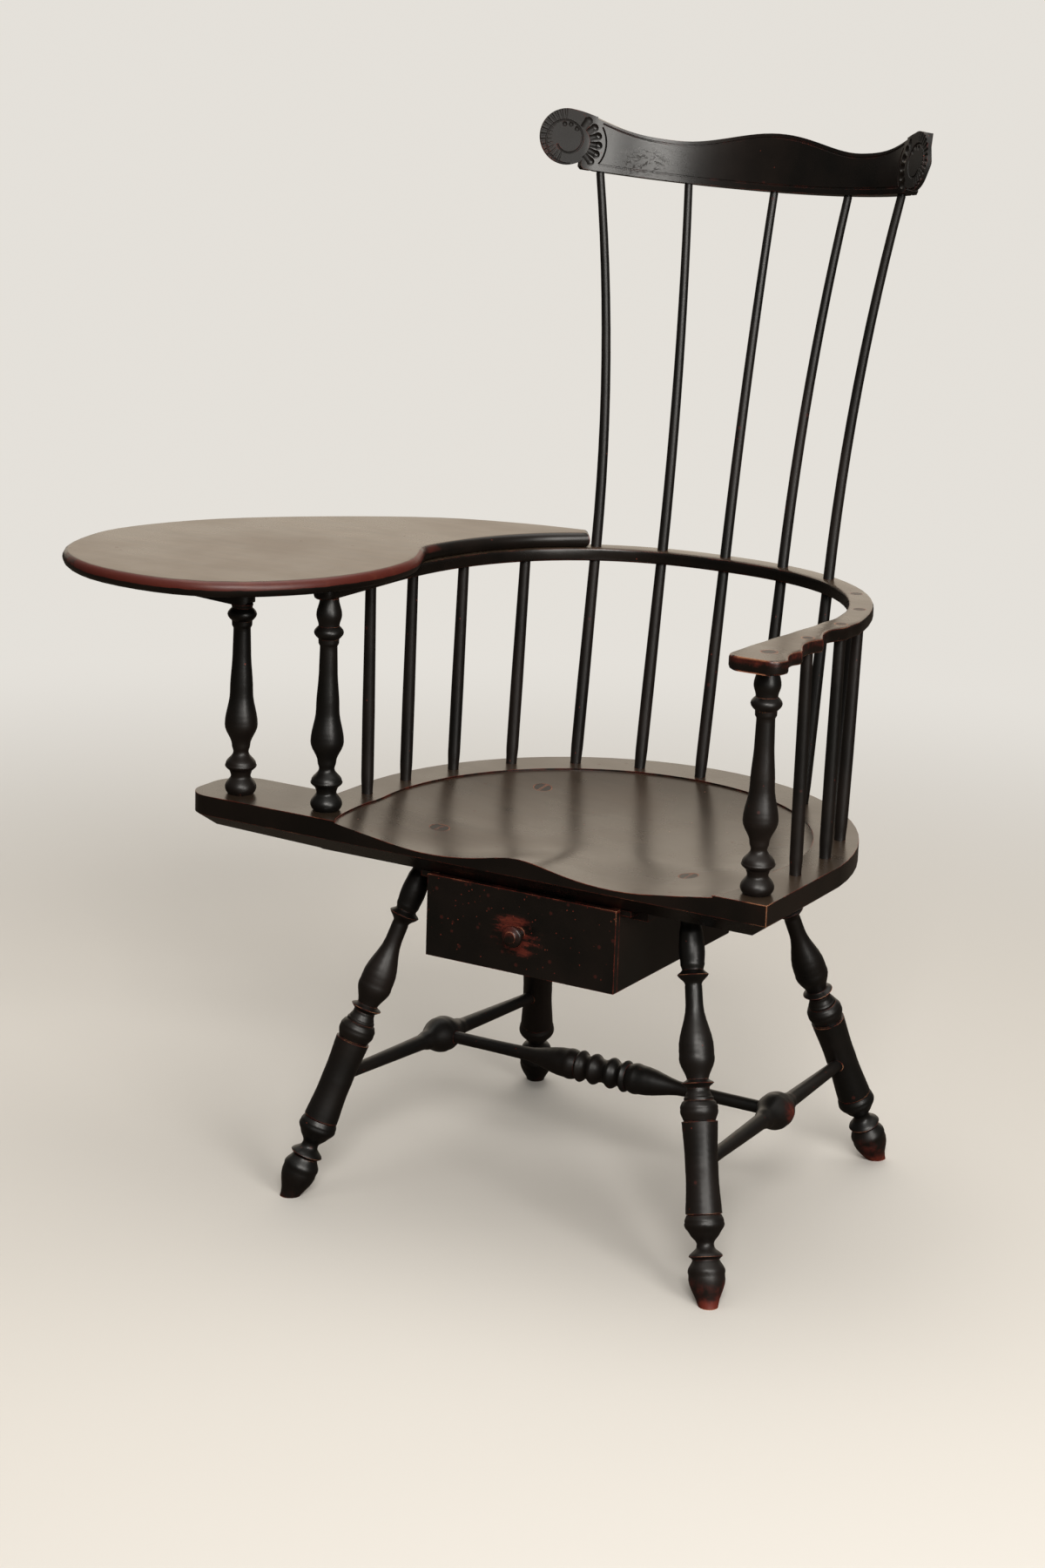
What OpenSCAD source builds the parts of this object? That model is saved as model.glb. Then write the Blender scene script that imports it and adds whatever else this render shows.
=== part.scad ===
// Writing arm Windsor chair: a comb-back armchair with a tablet on one arm and a
// drawer under its seat. Millimetres, Z up, floor at Z = 0, front towards -Y.
// Left and right are as seen from the front, so the tablet is on the left.
// The chair is laid out about the middle of its seat, and the module "placed" moves
// it so that the origin is under the middle of its bounding box.

/* [Seat] */
// Height of the seat's flat deck above the floor
deck_z = 425; // [380:1:470]
// Half of the deck's width at its widest
seat_half_w = 288; // [270:1:320]
// Half of the deck's width at its front corners
seat_front_half_w = 281; // [265:1:310]
// From the seat's middle to the back of the deck
seat_back = 302; // [290:1:330]
// From the seat's middle to the front edge
seat_front = 145; // [138:1:165]
// Thickness of the plank
seat_thk = 43; // [38:0.5:55]
// Height of the plank's upright edge, above the bevel
seat_edge_h = 22; // [12:0.5:32]
// How far the bevel runs in under the plank
seat_bevel = 28; // [8:1:34]
// Width of the flat deck outside the saddle, at the sides
deck_side = 47; // [42:1:60]
// Width of the flat deck behind the saddle
deck_rear = 55; // [50:1:70]
// Depth of the crisp step where the saddle starts
saddle_step = 2; // [0.5:0.5:4]
// Depth that the saddle gains towards its middle
saddle_depth = 18; // [8:0.5:22]
// Height of the pommel between the thighs
pommel_h = 9; // [0:0.5:10]
// Depth of the two thigh scoops at the front edge
scoop_depth = 5; // [0:0.5:8]

/* [Seat wing] */
// From the seat's middle to the tip of the wing that carries the tablet's post
wing_reach = 425; // [418:1:450]
// Width of the wing from front to back
wing_w = 96; // [90:1:120]
// Radius of the wing's front corner
wing_front_r = 30; // [29:0.5:40]
// Radius of the wing's back corner
wing_back_r = 40; // [30:0.5:45]
// How far the wing's underside rises towards its tip
wing_rise = 6; // [0:0.5:10]

/* [Legs] */
// Half of the distance between the front feet
foot_front_x = 259; // [230:1:280]
// From the seat's middle forward to the front feet
foot_front_y = 173; // [150:1:190]
// Half of the distance between the rear feet
foot_rear_x = 227; // [200:1:250]
// From the seat's middle back to the rear feet
foot_rear_y = 305; // [280:1:330]
// Half of the distance between the front leg tenons in the deck
socket_front_x = 148; // [140:1:165]
// From the seat's middle forward to the front leg tenons
socket_front_y = 48; // [30:1:60]
// Half of the distance between the rear leg tenons in the deck
socket_rear_x = 135; // [125:1:150]
// From the seat's middle back to the rear leg tenons
socket_rear_y = 138; // [125:1:150]
// Radius of a leg's tenon
leg_tenon_r = 10.5; // [8:0.5:12]
// Radius of a leg at its ball, its fullest turning
leg_ball_r = 19.8; // [17:0.2:22]
// Length of a front leg's lower cylinder
leg_cylinder = 94; // [80:1:105]
// Extra length of a rear leg's lower cylinder
leg_rear_extra = 10; // [0:1:20]

/* [Stretchers] */
// Height of the side stretchers at the front legs
stretcher_front_z = 133; // [120:1:145]
// Height of the side stretchers at the rear legs
stretcher_rear_z = 126; // [115:1:140]
// Radius of a stretcher's end tenon
stretcher_tenon_r = 7; // [5:0.1:8]
// Radius of the bulb in the middle of a side stretcher
stretcher_bulb_r = 20; // [16:0.5:23]
// Radius of the vases and rings of the middle stretcher
stretcher_vase_r = 17.5; // [14:0.5:20]

/* [Arm bow] */
// Height of the top of the arm bow
arm_z = 673; // [640:1:700]
// Thickness of the arm bow
arm_thk = 15; // [14:0.5:20]
// Width of the arm bow along its bent part
arm_w = 27; // [25:0.5:34]
// Half of the bow's width, to its centre line
arm_half_w = 262; // [255:1:275]
// From the seat's middle to the bow's centre line at the back
arm_back = 298; // [285:1:310]
// From the seat's middle forward to the end of the right hand
hand_front = 150; // [140:1:165]
// How far the right hand flares out past the bow's outer edge
hand_flare = 16; // [6:1:24]
// Radius of the arm bow's rounded edges
arm_edge_r = 3.5; // [1:0.5:6]

/* [Posts] */
// Half of the distance between the two posts beside the sitter
post_x = 260; // [257:0.5:263]
// From the seat's middle forward to the row of posts
post_y = 112; // [106:1:118]
// From the wing's tip in to the outer left post
post_inset = 52; // [46:1:60]
// Radius of a post at its vase, its fullest turning
post_vase_r = 18; // [15:0.5:20]
// Radius of a post's tenons
post_tenon_r = 8; // [6:0.5:10]

/* [Spindles] */
// Distance between spindles along their row in the deck
pitch_seat = 75; // [68:0.5:78]
// Distance between the long spindles along the arm bow
pitch_long = 76.5; // [72:0.5:80]
// Distance between the short spindles along the arm bow
pitch_short = 82; // [76:0.5:84]
// Distance between the long spindles along the comb
pitch_comb = 101; // [88:0.5:106]
// From the deck's side edge in to the row of spindles
row_side = 26; // [22:0.5:32]
// From the deck's back edge in to the row of spindles
row_rear = 41; // [34:0.5:46]
// Radius of a spindle just above the deck
spindle_r = 6.9; // [5.5:0.1:8]
// Radius of a spindle where it passes the arm bow
spindle_arm_r = 6; // [5:0.1:6.5]
// Radius of a long spindle just under the comb
spindle_comb_r = 4.6; // [4:0.1:5.5]
// Radius of a spindle's tenon in the seat
spindle_tenon_r = 6.2; // [4.5:0.1:6.6]
// Radius of a long spindle's tenon in the comb
comb_tenon_r = 4.2; // [3:0.1:5]
// Depth of a spindle's socket in the seat
socket_depth = 20; // [10:1:22]

/* [Comb] */
// Height of the comb's bottom edge at its middle
comb_z = 1075; // [1000:1:1120]
// From the seat's middle back to the comb's bottom edge at its middle
comb_back = 376; // [350:1:400]
// Angle at which the comb leans back
comb_lean = 11; // [0:0.5:16]
// Radius of the comb's bend
comb_bend_r = 281; // [250:1:400]
// Length of bent comb on each side of its middle, before the straight ears
comb_bent_half = 216; // [204:1:218]
// Thickness of the comb
comb_thk = 15; // [12:0.5:20]
// Height of the comb at the hump in its middle
comb_hump_h = 63.5; // [55:0.5:75]
// Height of the comb at its two dips
comb_dip_h = 45; // [35:0.5:52]
// Distance along the comb from its middle to a dip
comb_dip_at = 118; // [95:1:135]
// Distance along the comb from its middle to an ear's centre
ear_at = 247; // [244:1:260]
// Radius of an ear
ear_r = 31; // [28:0.5:34]
// Radius of the boss at the heart of an ear's scroll
ear_boss_r = 13; // [10:0.5:15]
// How far an ear stands out of the comb's face
ear_relief = 1.5; // [1:0.25:4]
// Number of gouged flutes round the outer side of an ear
ear_flutes = 14; // [8:1:18]
// Number of petals gouged beside an ear
ear_petals = 6; // [4:1:7]
// Radius of the incised lines of the carving
line_r = 1.2; // [0.8:0.1:1.5]

/* [Tablet] */
// Thickness of the tablet
tablet_thk = 17; // [14:0.5:22]
// From the seat's middle to the tablet's left edge
tablet_reach = 577; // [560:1:600]
// From the seat's middle forward to the tablet's front edge
tablet_front = 270; // [250:1:290]
// Height of the cleat under the tablet, at its post
cleat_h = 36; // [32:1:42]
// Width of the cleat
cleat_w = 28; // [24:1:40]
// Length of the cleat
cleat_len = 182; // [150:1:195]

/* [Drawer] */
// Width of the drawer's front
drawer_w = 229; // [200:1:235]
// Height of the drawer's front
drawer_h = 90; // [60:1:100]
// Length of the drawer from front to back
drawer_len = 262; // [220:1:268]
// How far the drawer's middle lies left of the seat's middle
drawer_left = 8; // [0:1:12]
// From the seat's middle forward to the face of the drawer
drawer_front_y = 122; // [116:1:130]
// Thickness of the drawer's front
drawer_front_thk = 16; // [12:0.5:20]
// Thickness of the drawer's sides and back
drawer_side_thk = 9; // [6:0.5:12]
// Thickness of the drawer's bottom
drawer_bottom_thk = 5; // [3:0.5:8]
// Width of the rails along the tops of the drawer's sides
rail_w = 13; // [10:0.5:14]
// Thickness of those rails
rail_thk = 6; // [4:0.5:8]
// Thickness of a runner's upright web
runner_web = 10; // [8:0.5:10]
// Thickness of a runner's ledge
runner_ledge = 7; // [5:0.5:9]
// Radius of the drawer's knob
knob_r = 11.5; // [8:0.5:14]

/* [Fasteners and fits] */
// Gap round a glued tenon in its socket
joint_gap = 0.05; // [0.02:0.01:0.15]
// Gap between the drawer and its runners
slide_gap = 0.4; // [0.3:0.1:0.8]
// Length of a wedge in the end of a tenon
wedge_len = 12; // [8:1:14]
// Thickness of a wedge at its wide end
wedge_thk = 1.6; // [1:0.1:2.5]
// Radius of a wood screw's shank
screw_r = 2; // [1.5:0.1:2.5]
// Radius of a wood screw's head
screw_head_r = 4; // [3:0.1:5]
// Radius of the pegs that pin the comb to its outer spindles
peg_r = 2.5; // [1.5:0.1:3]

/* [Hidden] */
$fn = 48;
tiny = 0.01;
far = 2000;

// Colours of the finish
black_paint = [0.07, 0.06, 0.06];
black_worn = [0.12, 0.08, 0.07];
tablet_paint = [0.42, 0.37, 0.33];
bare_wood = [0.66, 0.5, 0.33];
screw_steel = [0.45, 0.44, 0.42];

// ---- Arithmetic on points and curves ----

function mix(a, b, t) = a + (b - a) * t;
// Smooth step from 0 to 1
function ease(t) = (1 - cos(180 * max(0, min(1, t)))) / 2;
function unit(v) = v / norm(v);
// Flat vector turned a quarter turn clockwise
function right_of(v) = [v.y, -v.x];
// Distance along a line of points to each of them
function lengths(p, i = 0, d = 0) = i >= len(p) ? []
    : concat([d], lengths(p, i + 1, i + 1 < len(p) ? d + norm(p[i + 1] - p[i]) : d));
// Number of the segment that holds a distance along a line; "at" is the line's lengths
function segment_at(at, d, i = 1) = (i >= len(at) - 1 || at[i] >= d) ? i : segment_at(at, d, i + 1);
// Point on a line at a distance, and its direction there
function point_at(p, at, d) =
    let (i = segment_at(at, d)) mix(p[i - 1], p[i], (d - at[i - 1]) / (at[i] - at[i - 1]));
function heading_at(p, at, d) = let (i = segment_at(at, d)) unit(p[i] - p[i - 1]);
// Smooth open curve through points, with n straight pieces between neighbours
function smooth_line(p, n) = [
    for (i = [0:len(p) - 2], k = [0:n - 1])
        let (a = p[max(i - 1, 0)], b = p[i], c = p[i + 1], e = p[min(i + 2, len(p) - 1)], t = k / n)
            0.5 * (2 * b + (c - a) * t + (2 * a - 5 * b + 4 * c - e) * t * t
                + (3 * b - a - 3 * c + e) * t * t * t)
];

// Value at x of straight lines through [x, value] pairs
function line_at(pairs, x, i = 1) = i >= len(pairs) - 1 || pairs[i].x >= x
    ? mix(pairs[i - 1].y, pairs[i].y, (x - pairs[i - 1].x) / (pairs[i].x - pairs[i - 1].x))
    : line_at(pairs, x, i + 1);

// ---- Seat shape ----

seat_bottom_z = deck_z - seat_thk;
// Back half of the deck's outline is half an ellipse
deck_back_arc = [for (i = [0:36]) [seat_half_w * cos(5 * i), seat_back * sin(5 * i)]];
deck_outline = concat(
    [[seat_front_half_w, -seat_front]], deck_back_arc, [[-seat_front_half_w, -seat_front]]);

// Half sizes of the saddle, whose outline is an ellipse behind and nearly square in front
saddle_half_w = seat_half_w - deck_side;
saddle_back = seat_back - deck_rear;
// The saddle's outline would close this far in front of the seat
saddle_run_out = 45;
saddle_front = seat_front + saddle_run_out;
front_power = 5;
// The square outline takes over within this sine of an angle in front of the middle
front_turn = 0.3;
pommel_half_w = 45;
hollow_power = 2.6;
scoop_at = saddle_half_w * 0.48;
scoop_half_w = 60;

// Fraction of the way from the saddle's middle to its outline
function front_square(x, y) =
    pow(pow(abs(x) / saddle_half_w, front_power) + pow(-y / saddle_front, front_power), 1 / front_power);
function saddle_fraction(x, y) = y >= 0
    ? norm([x / saddle_half_w, y / saddle_back])
    : mix(norm([x / saddle_half_w, y / saddle_front]), front_square(x, y),
        ease(-y / norm([x, y]) / front_turn));
// Distance from the saddle's middle to its outline in one direction
function saddle_radius(a) = 1 / saddle_fraction(cos(a), sin(a));
function hollow(t) = 1 - pow(min(t, 1), hollow_power);
// The two scoops and the pommel between them grow towards the front edge
function saddle_front_shape(x) = scoop_depth * exp(-pow((abs(x) - scoop_at) / scoop_half_w, 2))
    - pommel_h * exp(-pow(x / pommel_half_w, 2));
function saddle_sink(x, y) = saddle_step + saddle_depth * hollow(saddle_fraction(x, y))
    + ease((-y - 10) / seat_front) * saddle_front_shape(x);
function saddle_z(x, y) = deck_z - saddle_sink(x, y);

// ---- Rows of spindles ----

// Curve that runs from the middle of the back, round one side and straight forward
row_power = 2.3;
row_steps = 30;
row_front = 400;
function row_arc(half_w, back) = [
    for (i = [0:row_steps]) let (a = 90 - 90 * i / row_steps)
        [half_w * pow(cos(a), 2 / row_power), back * pow(sin(a), 2 / row_power)]
];
function row_curve(half_w, back) = concat(row_arc(half_w, back), [[half_w, -row_front]]);
seat_row = row_curve(seat_half_w - row_side, seat_back - row_rear);
seat_row_at = lengths(seat_row);
arm_row = row_curve(arm_half_w, arm_back);
arm_row_at = lengths(arm_row);

// A spindle is counted from the middle of the back: 0 to 2 are long, 3 to 6 are short
long_last = 2;
function row_point(row, at, i, d, z) =
    let (p = i == 0 ? row[0] : point_at(row, at, d)) [sign(i) * p.x, p.y, z];
function arm_distance(n) = min(n, long_last) * pitch_long + max(n - long_last, 0) * pitch_short;
function spindle_foot(i) = row_point(seat_row, seat_row_at, i, abs(i) * pitch_seat, deck_z);
function spindle_arm(i) = row_point(arm_row, arm_row_at, i, arm_distance(abs(i)), arm_z);
function spindle_run(i) = unit(spindle_arm(i) - spindle_foot(i));

// ---- Comb ----

comb_end_angle = comb_bent_half / comb_bend_r * 180 / PI;
// Direction in which the comb runs at a distance s from its middle
function comb_turn(s) = max(-comb_end_angle, min(comb_end_angle, s / comb_bend_r * 180 / PI));
// Point of the comb's middle surface in plan, before the comb leans
function comb_plan(s) =
    let (a = comb_turn(s), over = sign(s) * max(abs(s) - comb_bent_half, 0))
        comb_bend_r * [sin(a), cos(a) - 1] + over * [cos(a), -sin(a)];
// Point just off the comb's front surface, s along it and h up it, before the comb leans
line_off = 0.3;
function comb_front(s, h) =
    let (a = comb_turn(s), p = comb_plan(s) - (comb_thk / 2 + line_off) * [sin(a), cos(a)]) [p.x, p.y, h];
function comb_point(s, h) = let (p = comb_plan(s)) [
    p.x,
    comb_back + p.y * cos(comb_lean) + h * sin(comb_lean),
    comb_z - p.y * sin(comb_lean) + h * cos(comb_lean)
];
comb_top_power = 1.4;
function comb_top(s) = abs(s) <= comb_dip_at
    ? mix(comb_dip_h, comb_hump_h, ease(1 - abs(s) / comb_dip_at))
    : mix(comb_dip_h, ear_top, ease(pow((abs(s) - comb_dip_at) / (ear_at - comb_dip_at), comb_top_power)));
ear_h = ear_r + 1.5;
ear_top = ear_h + ear_r;
// A small square tab ends the comb's bottom edge under each ear
tab_back = 23;
tab_corner = 3;
comb_tab_h = 8;

function spindle_comb(i) = comb_point(i * pitch_comb, 0);
function comb_run(i) = unit(2 * unit(spindle_comb(i) - spindle_arm(i)) - spindle_run(i));

// ---- Arm bow shape ----

arm_bottom_z = arm_z - arm_thk;
// Distances along the bow's centre line, from the middle of the back; left is negative
arm_side_len = arm_row_at[row_steps];
arm_left_r = 12;
arm_left_over = 15;
arm_left_len = arm_side_len + post_y + arm_left_over;
arm_right_len = arm_side_len + hand_front;
hand_r = 18;
scallops_from = arm_side_len - 100;
function steps(from, to, n) = [for (k = [0:n - 1]) mix(from, to, k / n)];
arm_stations = concat(
    [for (k = [0:4]) -arm_left_len + arm_left_r * (1 - cos(18 * k))],
    steps(-arm_left_len + arm_left_r, scallops_from, 46),
    steps(scallops_from, arm_right_len - hand_r, 46),
    [for (k = [0:8]) arm_right_len - hand_r + hand_r * sin(11.25 * k)]
);
function bow_point(d) = let (p = point_at(arm_row, arm_row_at, abs(d))) [d < 0 ? -p.x : p.x, p.y];
// Direction across the bow, away from the sitter
function bow_out(d) = let (h = heading_at(arm_row, arm_row_at, max(abs(d), tiny)), o = [-h.y, h.x])
    d < 0 ? [-o.x, o.y] : o;
// Value of a curve through [distance forward, value] pairs. It levels out at each pair,
// but at a pair with a third entry it makes a cusp.
function eased_at(pairs, y, i = 0) = y <= pairs[0].x ? pairs[0].y
    : i >= len(pairs) - 1 ? pairs[i].y
    : y > pairs[i + 1].x ? eased_at(pairs, y, i + 1)
    : let (a = pairs[i], b = pairs[i + 1], t = (y - a.x) / (b.x - a.x))
        mix(a.y, b.y, len(a) > 2 ? sin(90 * t) : len(b) > 2 ? 1 - cos(90 * t) : ease(t));
// Cusped scallops along the outer edge widen into the hand, and the inner edge swells
cusp = true;
scallops = [
    [-80, 0], [-50, -3], [-18, -12.5], [22, 0.5, cusp], [44, -5.5], [85, 9, cusp], [99, 4.8],
    [hand_front - 18, hand_flare, cusp], [hand_front, hand_flare]
];
palm = [[-120, 0], [-89, 2], [-42, 8.4], [10, 12.8], [60, 16.5], [100, 19], [hand_front - 10, 20]];
function hand_out(d) = d < scallops_from ? 0 : eased_at(scallops, -bow_point(d).y);
function hand_in(d) = d < 0 ? 0 : eased_at(palm, -bow_point(d).y);
// How much a rounded end takes off both edges
end_share = 0.8;
function end_round(d, reach, r) = d > reach - r ? r - sqrt(max(0, r * r - pow(d - reach + r, 2))) : 0;
function bow_section(d) =
    let (p = bow_point(d), o = bow_out(d), r = arm_edge_r,
        round_off = end_round(d, arm_right_len, hand_r) + end_round(-d, arm_left_len, arm_left_r),
        edge_out = arm_w / 2 + hand_out(d) - round_off * end_share,
        edge_in = arm_w / 2 + hand_in(d) - round_off * end_share,
        corners = [
            [edge_out - r, 0], [edge_out - 0.3 * r, 0.3 * r], [edge_out, r],
            [edge_out, arm_thk - r], [edge_out - 0.3 * r, arm_thk - 0.3 * r], [edge_out - r, arm_thk],
            [-edge_in + r, arm_thk], [-edge_in + 0.3 * r, arm_thk - 0.3 * r], [-edge_in, arm_thk - r],
            [-edge_in, r], [-edge_in + 0.3 * r, 0.3 * r], [-edge_in + r, 0]
        ])
    [for (c = corners) [p.x + o.x * c.x, p.y + o.y * c.x, arm_bottom_z + c.y]];

// ---- Tablet ----

// The tablet's tail ends squarely just short of the first long spindle
tail_gap = 2;
tail_at = long_last * pitch_long + spindle_arm_r + tail_gap;
tail_from = arm_side_len - 62;
function bow_edge(d, off) = bow_point(d) + bow_out(d) * off;
tail_inner = [for (k = [0:5]) bow_edge(-mix(tail_from, tail_at, k / 5), -arm_w / 2)];
// Point of the tablet's edge, in shares of its reach and of the bow's or its own depth
function tablet_point(x, y) = [-tablet_reach * x, y * (y > 0 ? arm_back : tablet_front)];
tablet_round = [
    tablet_point(0.41, 0.862), tablet_point(0.577, 0.752), tablet_point(0.754, 0.497),
    tablet_point(0.91, 0.168), tablet_point(0.991, -0.185), tablet_point(0.9965, -0.463),
    tablet_point(0.9445, -0.759), tablet_point(0.8146, -0.956), tablet_point(0.65, -1),
    tablet_point(0.52, -0.9), tablet_point(0.421, -0.659), tablet_point(0.3726, -0.37),
    tablet_point(0.371, -0.074), tablet_point(0.409, 0.12)
];
tablet_points = concat([bow_edge(-tail_at, arm_w / 2)], tablet_round, tail_inner);
tablet_loop = concat(smooth_line(tablet_points, 4), [tablet_points[len(tablet_points) - 1]]);

// ---- Bounding box of the chair, for the origin ----

function least(p, k) = min([for (q = p) q[k]]);
box_left = least(tablet_loop, 0);
box_right = max([for (d = arm_stations, p = bow_section(d)) p.x]);
box_front = least(tablet_loop, 1);
box_back = comb_point(0, comb_hump_h).y + comb_thk / 2 * cos(comb_lean);
origin = [(box_left + box_right) / 2, (box_front + box_back) / 2, 0];

// ---- Shared shapes ----

// Puts a child that stands along Z on the line from a towards b, without twisting it
module stand(a, b) {
    d = b - a;
    turn = atan2(d.y, d.x);
    translate(a) rotate([0, acos(d.z / norm(d)), turn]) rotate([0, 0, -turn]) children();
}

// Keeps what lies under a level plane
module below(z) {
    difference() {
        children();
        translate([-far, -far, z]) cube(2 * far);
    }
}

// A turning is a list of [length, radius at its end, bulge], from the bottom up.
// The radius eases from one value to the next, and a bulge swells it into a bead.
function turning(t, r, z = 0, i = 0) = i >= len(t) ? [[r, z]] : concat(
    t[i][2] == undef
        ? [[r, z]]
        : [for (k = [0:5]) [mix(r, t[i][1], ease(k / 6)) + t[i][2] * sin(30 * k), z + t[i][0] * k / 6]],
    turning(t, t[i][1], z + t[i][0], i + 1));
function total(t, i = 0) = i >= len(t) ? 0 : t[i][0] + total(t, i + 1);
// The same turning, stretched or shortened to a length
function fitted(t, length) = let (k = length / total(t)) [for (e = t) [e[0] * k, e[1], e[2]]];
module turned(t, r) {
    p = turning(t, r);
    rotate_extrude() polygon(concat([[0, p[0].y]], p, [[0, p[len(p) - 1].y]]));
}

// Round bar swept through a list of [point, radius]
module swept(stations, sides) {
    n = len(stations);
    rings = [
        for (i = [0:n - 1])
            let (run = unit(stations[min(i + 1, n - 1)][0] - stations[max(i - 1, 0)][0]),
                u = unit(cross([0, 1, 0], run)), v = cross(run, u))
                for (k = [0:sides - 1])
                    stations[i][0] + stations[i][1] * (cos(360 * k / sides) * u + sin(360 * k / sides) * v)
    ];
    walls = [
        for (i = [0:n - 2], k = [0:sides - 1]) let (m = (k + 1) % sides)
            [i * sides + k, (i + 1) * sides + k, (i + 1) * sides + m, i * sides + m]
    ];
    polyhedron(rings, concat(walls, [[for (k = [0:sides - 1]) k]],
        [[for (k = [sides - 1:-1:0]) (n - 1) * sides + k]]));
}

// Skin over a stack of loops that all have the same number of points. Each end is closed
// by a strip between the two halves of its loop, which run alongside each other.
module skinned(loops) {
    n = len(loops[0]);
    last = (len(loops) - 1) * n;
    walls = [
        for (i = [0:len(loops) - 2], k = [0:n - 1]) let (j = (k + 1) % n) each
            [[i * n + k, (i + 1) * n + k, (i + 1) * n + j], [i * n + k, (i + 1) * n + j, i * n + j]]
    ];
    cap = [
        for (k = [0:ceil(n / 2) - 2]) k + 1 < n - 2 - k ? [k, k + 1, n - 2 - k, n - 1 - k] : [k, k + 1, k + 2]
    ];
    far_cap = [for (face = cap) [for (i = [len(face) - 1:-1:0]) last + face[i]]];
    polyhedron([for (loop = loops, p = loop) p], concat(walls, cap, far_cap));
}

// Thin wedge that stands in a tenon's end and runs across its grain
wedge_over = 5;
module wedge(r, grow = 0) {
    top = wedge_thk / 2 + grow;
    rotate([90, 0, 0]) translate([0, 0, -r]) linear_extrude(2 * r)
        polygon([[-top / 2, -wedge_len], [top / 2, -wedge_len], [top, wedge_over], [-top, wedge_over]]);
}

// Wood screw that points up, with its head's face at Z = 0
module screw(length, grow = 0) {
    head_h = screw_head_r - screw_r + grow;
    translate([0, 0, -grow]) cylinder(r1 = screw_head_r + grow, r2 = screw_r + grow, h = head_h);
    cylinder(r = screw_r + grow, h = length + grow);
}

// ---- Seat ----

module deck_slab(inset, z, thk) {
    across = 1 - inset / seat_half_w;
    along = 1 - inset / seat_back;
    translate([0, 0, z]) linear_extrude(thk) polygon([
        for (p = deck_outline) [p.x * across, p.y > 0 ? p.y * along : -seat_front + inset]
    ]);
}

// The wing's two round corners at its tip, and where it meets the deck
wing_root_x = -seat_half_w + 60;
wing_root_w = 10;
module wing_tip(inset, z, thk) {
    translate([-wing_reach + wing_front_r, -seat_front + wing_front_r, z])
        cylinder(r = wing_front_r - inset, h = thk);
    translate([-wing_reach + wing_back_r, -seat_front + wing_w - wing_back_r, z])
        cylinder(r = wing_back_r - inset, h = thk);
}
module wing_root(inset, z, thk) {
    translate([wing_root_x, -seat_front + inset, z]) cube([wing_root_w, wing_w - 2 * inset, thk]);
}

wing_bevel_share = 0.8;
module seat_blank() {
    hull() {
        deck_slab(0, deck_z - seat_edge_h, seat_edge_h);
        deck_slab(seat_bevel, seat_bottom_z, tiny);
    }
    hull() {
        wing_tip(0, deck_z - seat_edge_h, seat_edge_h);
        wing_root(0, deck_z - seat_edge_h, seat_edge_h);
        wing_tip(seat_bevel * wing_bevel_share, seat_bottom_z + wing_rise, tiny);
        wing_root(seat_bevel, seat_bottom_z, tiny);
    }
}

module saddle_cutter() {
    n = 96;
    rings = 10;
    top = deck_z + 5;
    ring_points = [
        for (i = [1:rings], k = [0:n - 1])
            let (a = 360 * k / n, d = saddle_radius(a) * i / rings, x = d * cos(a), y = d * sin(a))
                [x, y, saddle_z(x, y)]
    ];
    rim = [for (k = [0:n - 1]) let (a = 360 * k / n, d = saddle_radius(a)) [d * cos(a), d * sin(a), top]];
    middle = rings * n + n;
    points = concat(ring_points, rim, [[0, 0, saddle_z(0, 0)]]);
    dish = [
        for (i = [0:rings - 1], k = [0:n - 1]) let (j = (k + 1) % n) each
            [[i * n + k, (i + 1) * n + k, (i + 1) * n + j], [i * n + k, (i + 1) * n + j, i * n + j]]
    ];
    polyhedron(points, concat(dish, [for (k = [0:n - 1]) [middle, k, (k + 1) % n]],
        [[for (k = [n - 1:-1:0]) rings * n + k]]));
}

module seat() {
    color(black_paint) difference() {
        seat_blank();
        saddle_cutter();
        for (side = [-1, 1], rear = [false, true]) leg_hole(side, rear);
        for (i = [-6:6]) spindle_socket(i);
        for (p = post_places) translate([p.x, p.y, deck_z - socket_depth])
            cylinder(r = post_tenon_r + joint_gap, h = far);
        for (side = [-1, 1], k = [0:2]) translate(runner_screw_place(side, k))
            screw(runner_screw_len, joint_gap);
    }
}

// ---- Legs ----

function leg_foot(side, rear) =
    [side * (rear ? foot_rear_x : foot_front_x), rear ? foot_rear_y : -foot_front_y, 0];
function leg_socket(side, rear) =
    [side * (rear ? socket_rear_x : socket_front_x), rear ? socket_rear_y : -socket_front_y, deck_z];
function leg_length(side, rear) = norm(leg_socket(side, rear) - leg_foot(side, rear));
// Distance along a leg at which it reaches a height
function leg_at(side, rear, z) = leg_length(side, rear) * z / deck_z;
function leg_point(side, rear, z) = mix(leg_foot(side, rear), leg_socket(side, rear), z / deck_z);

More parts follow.
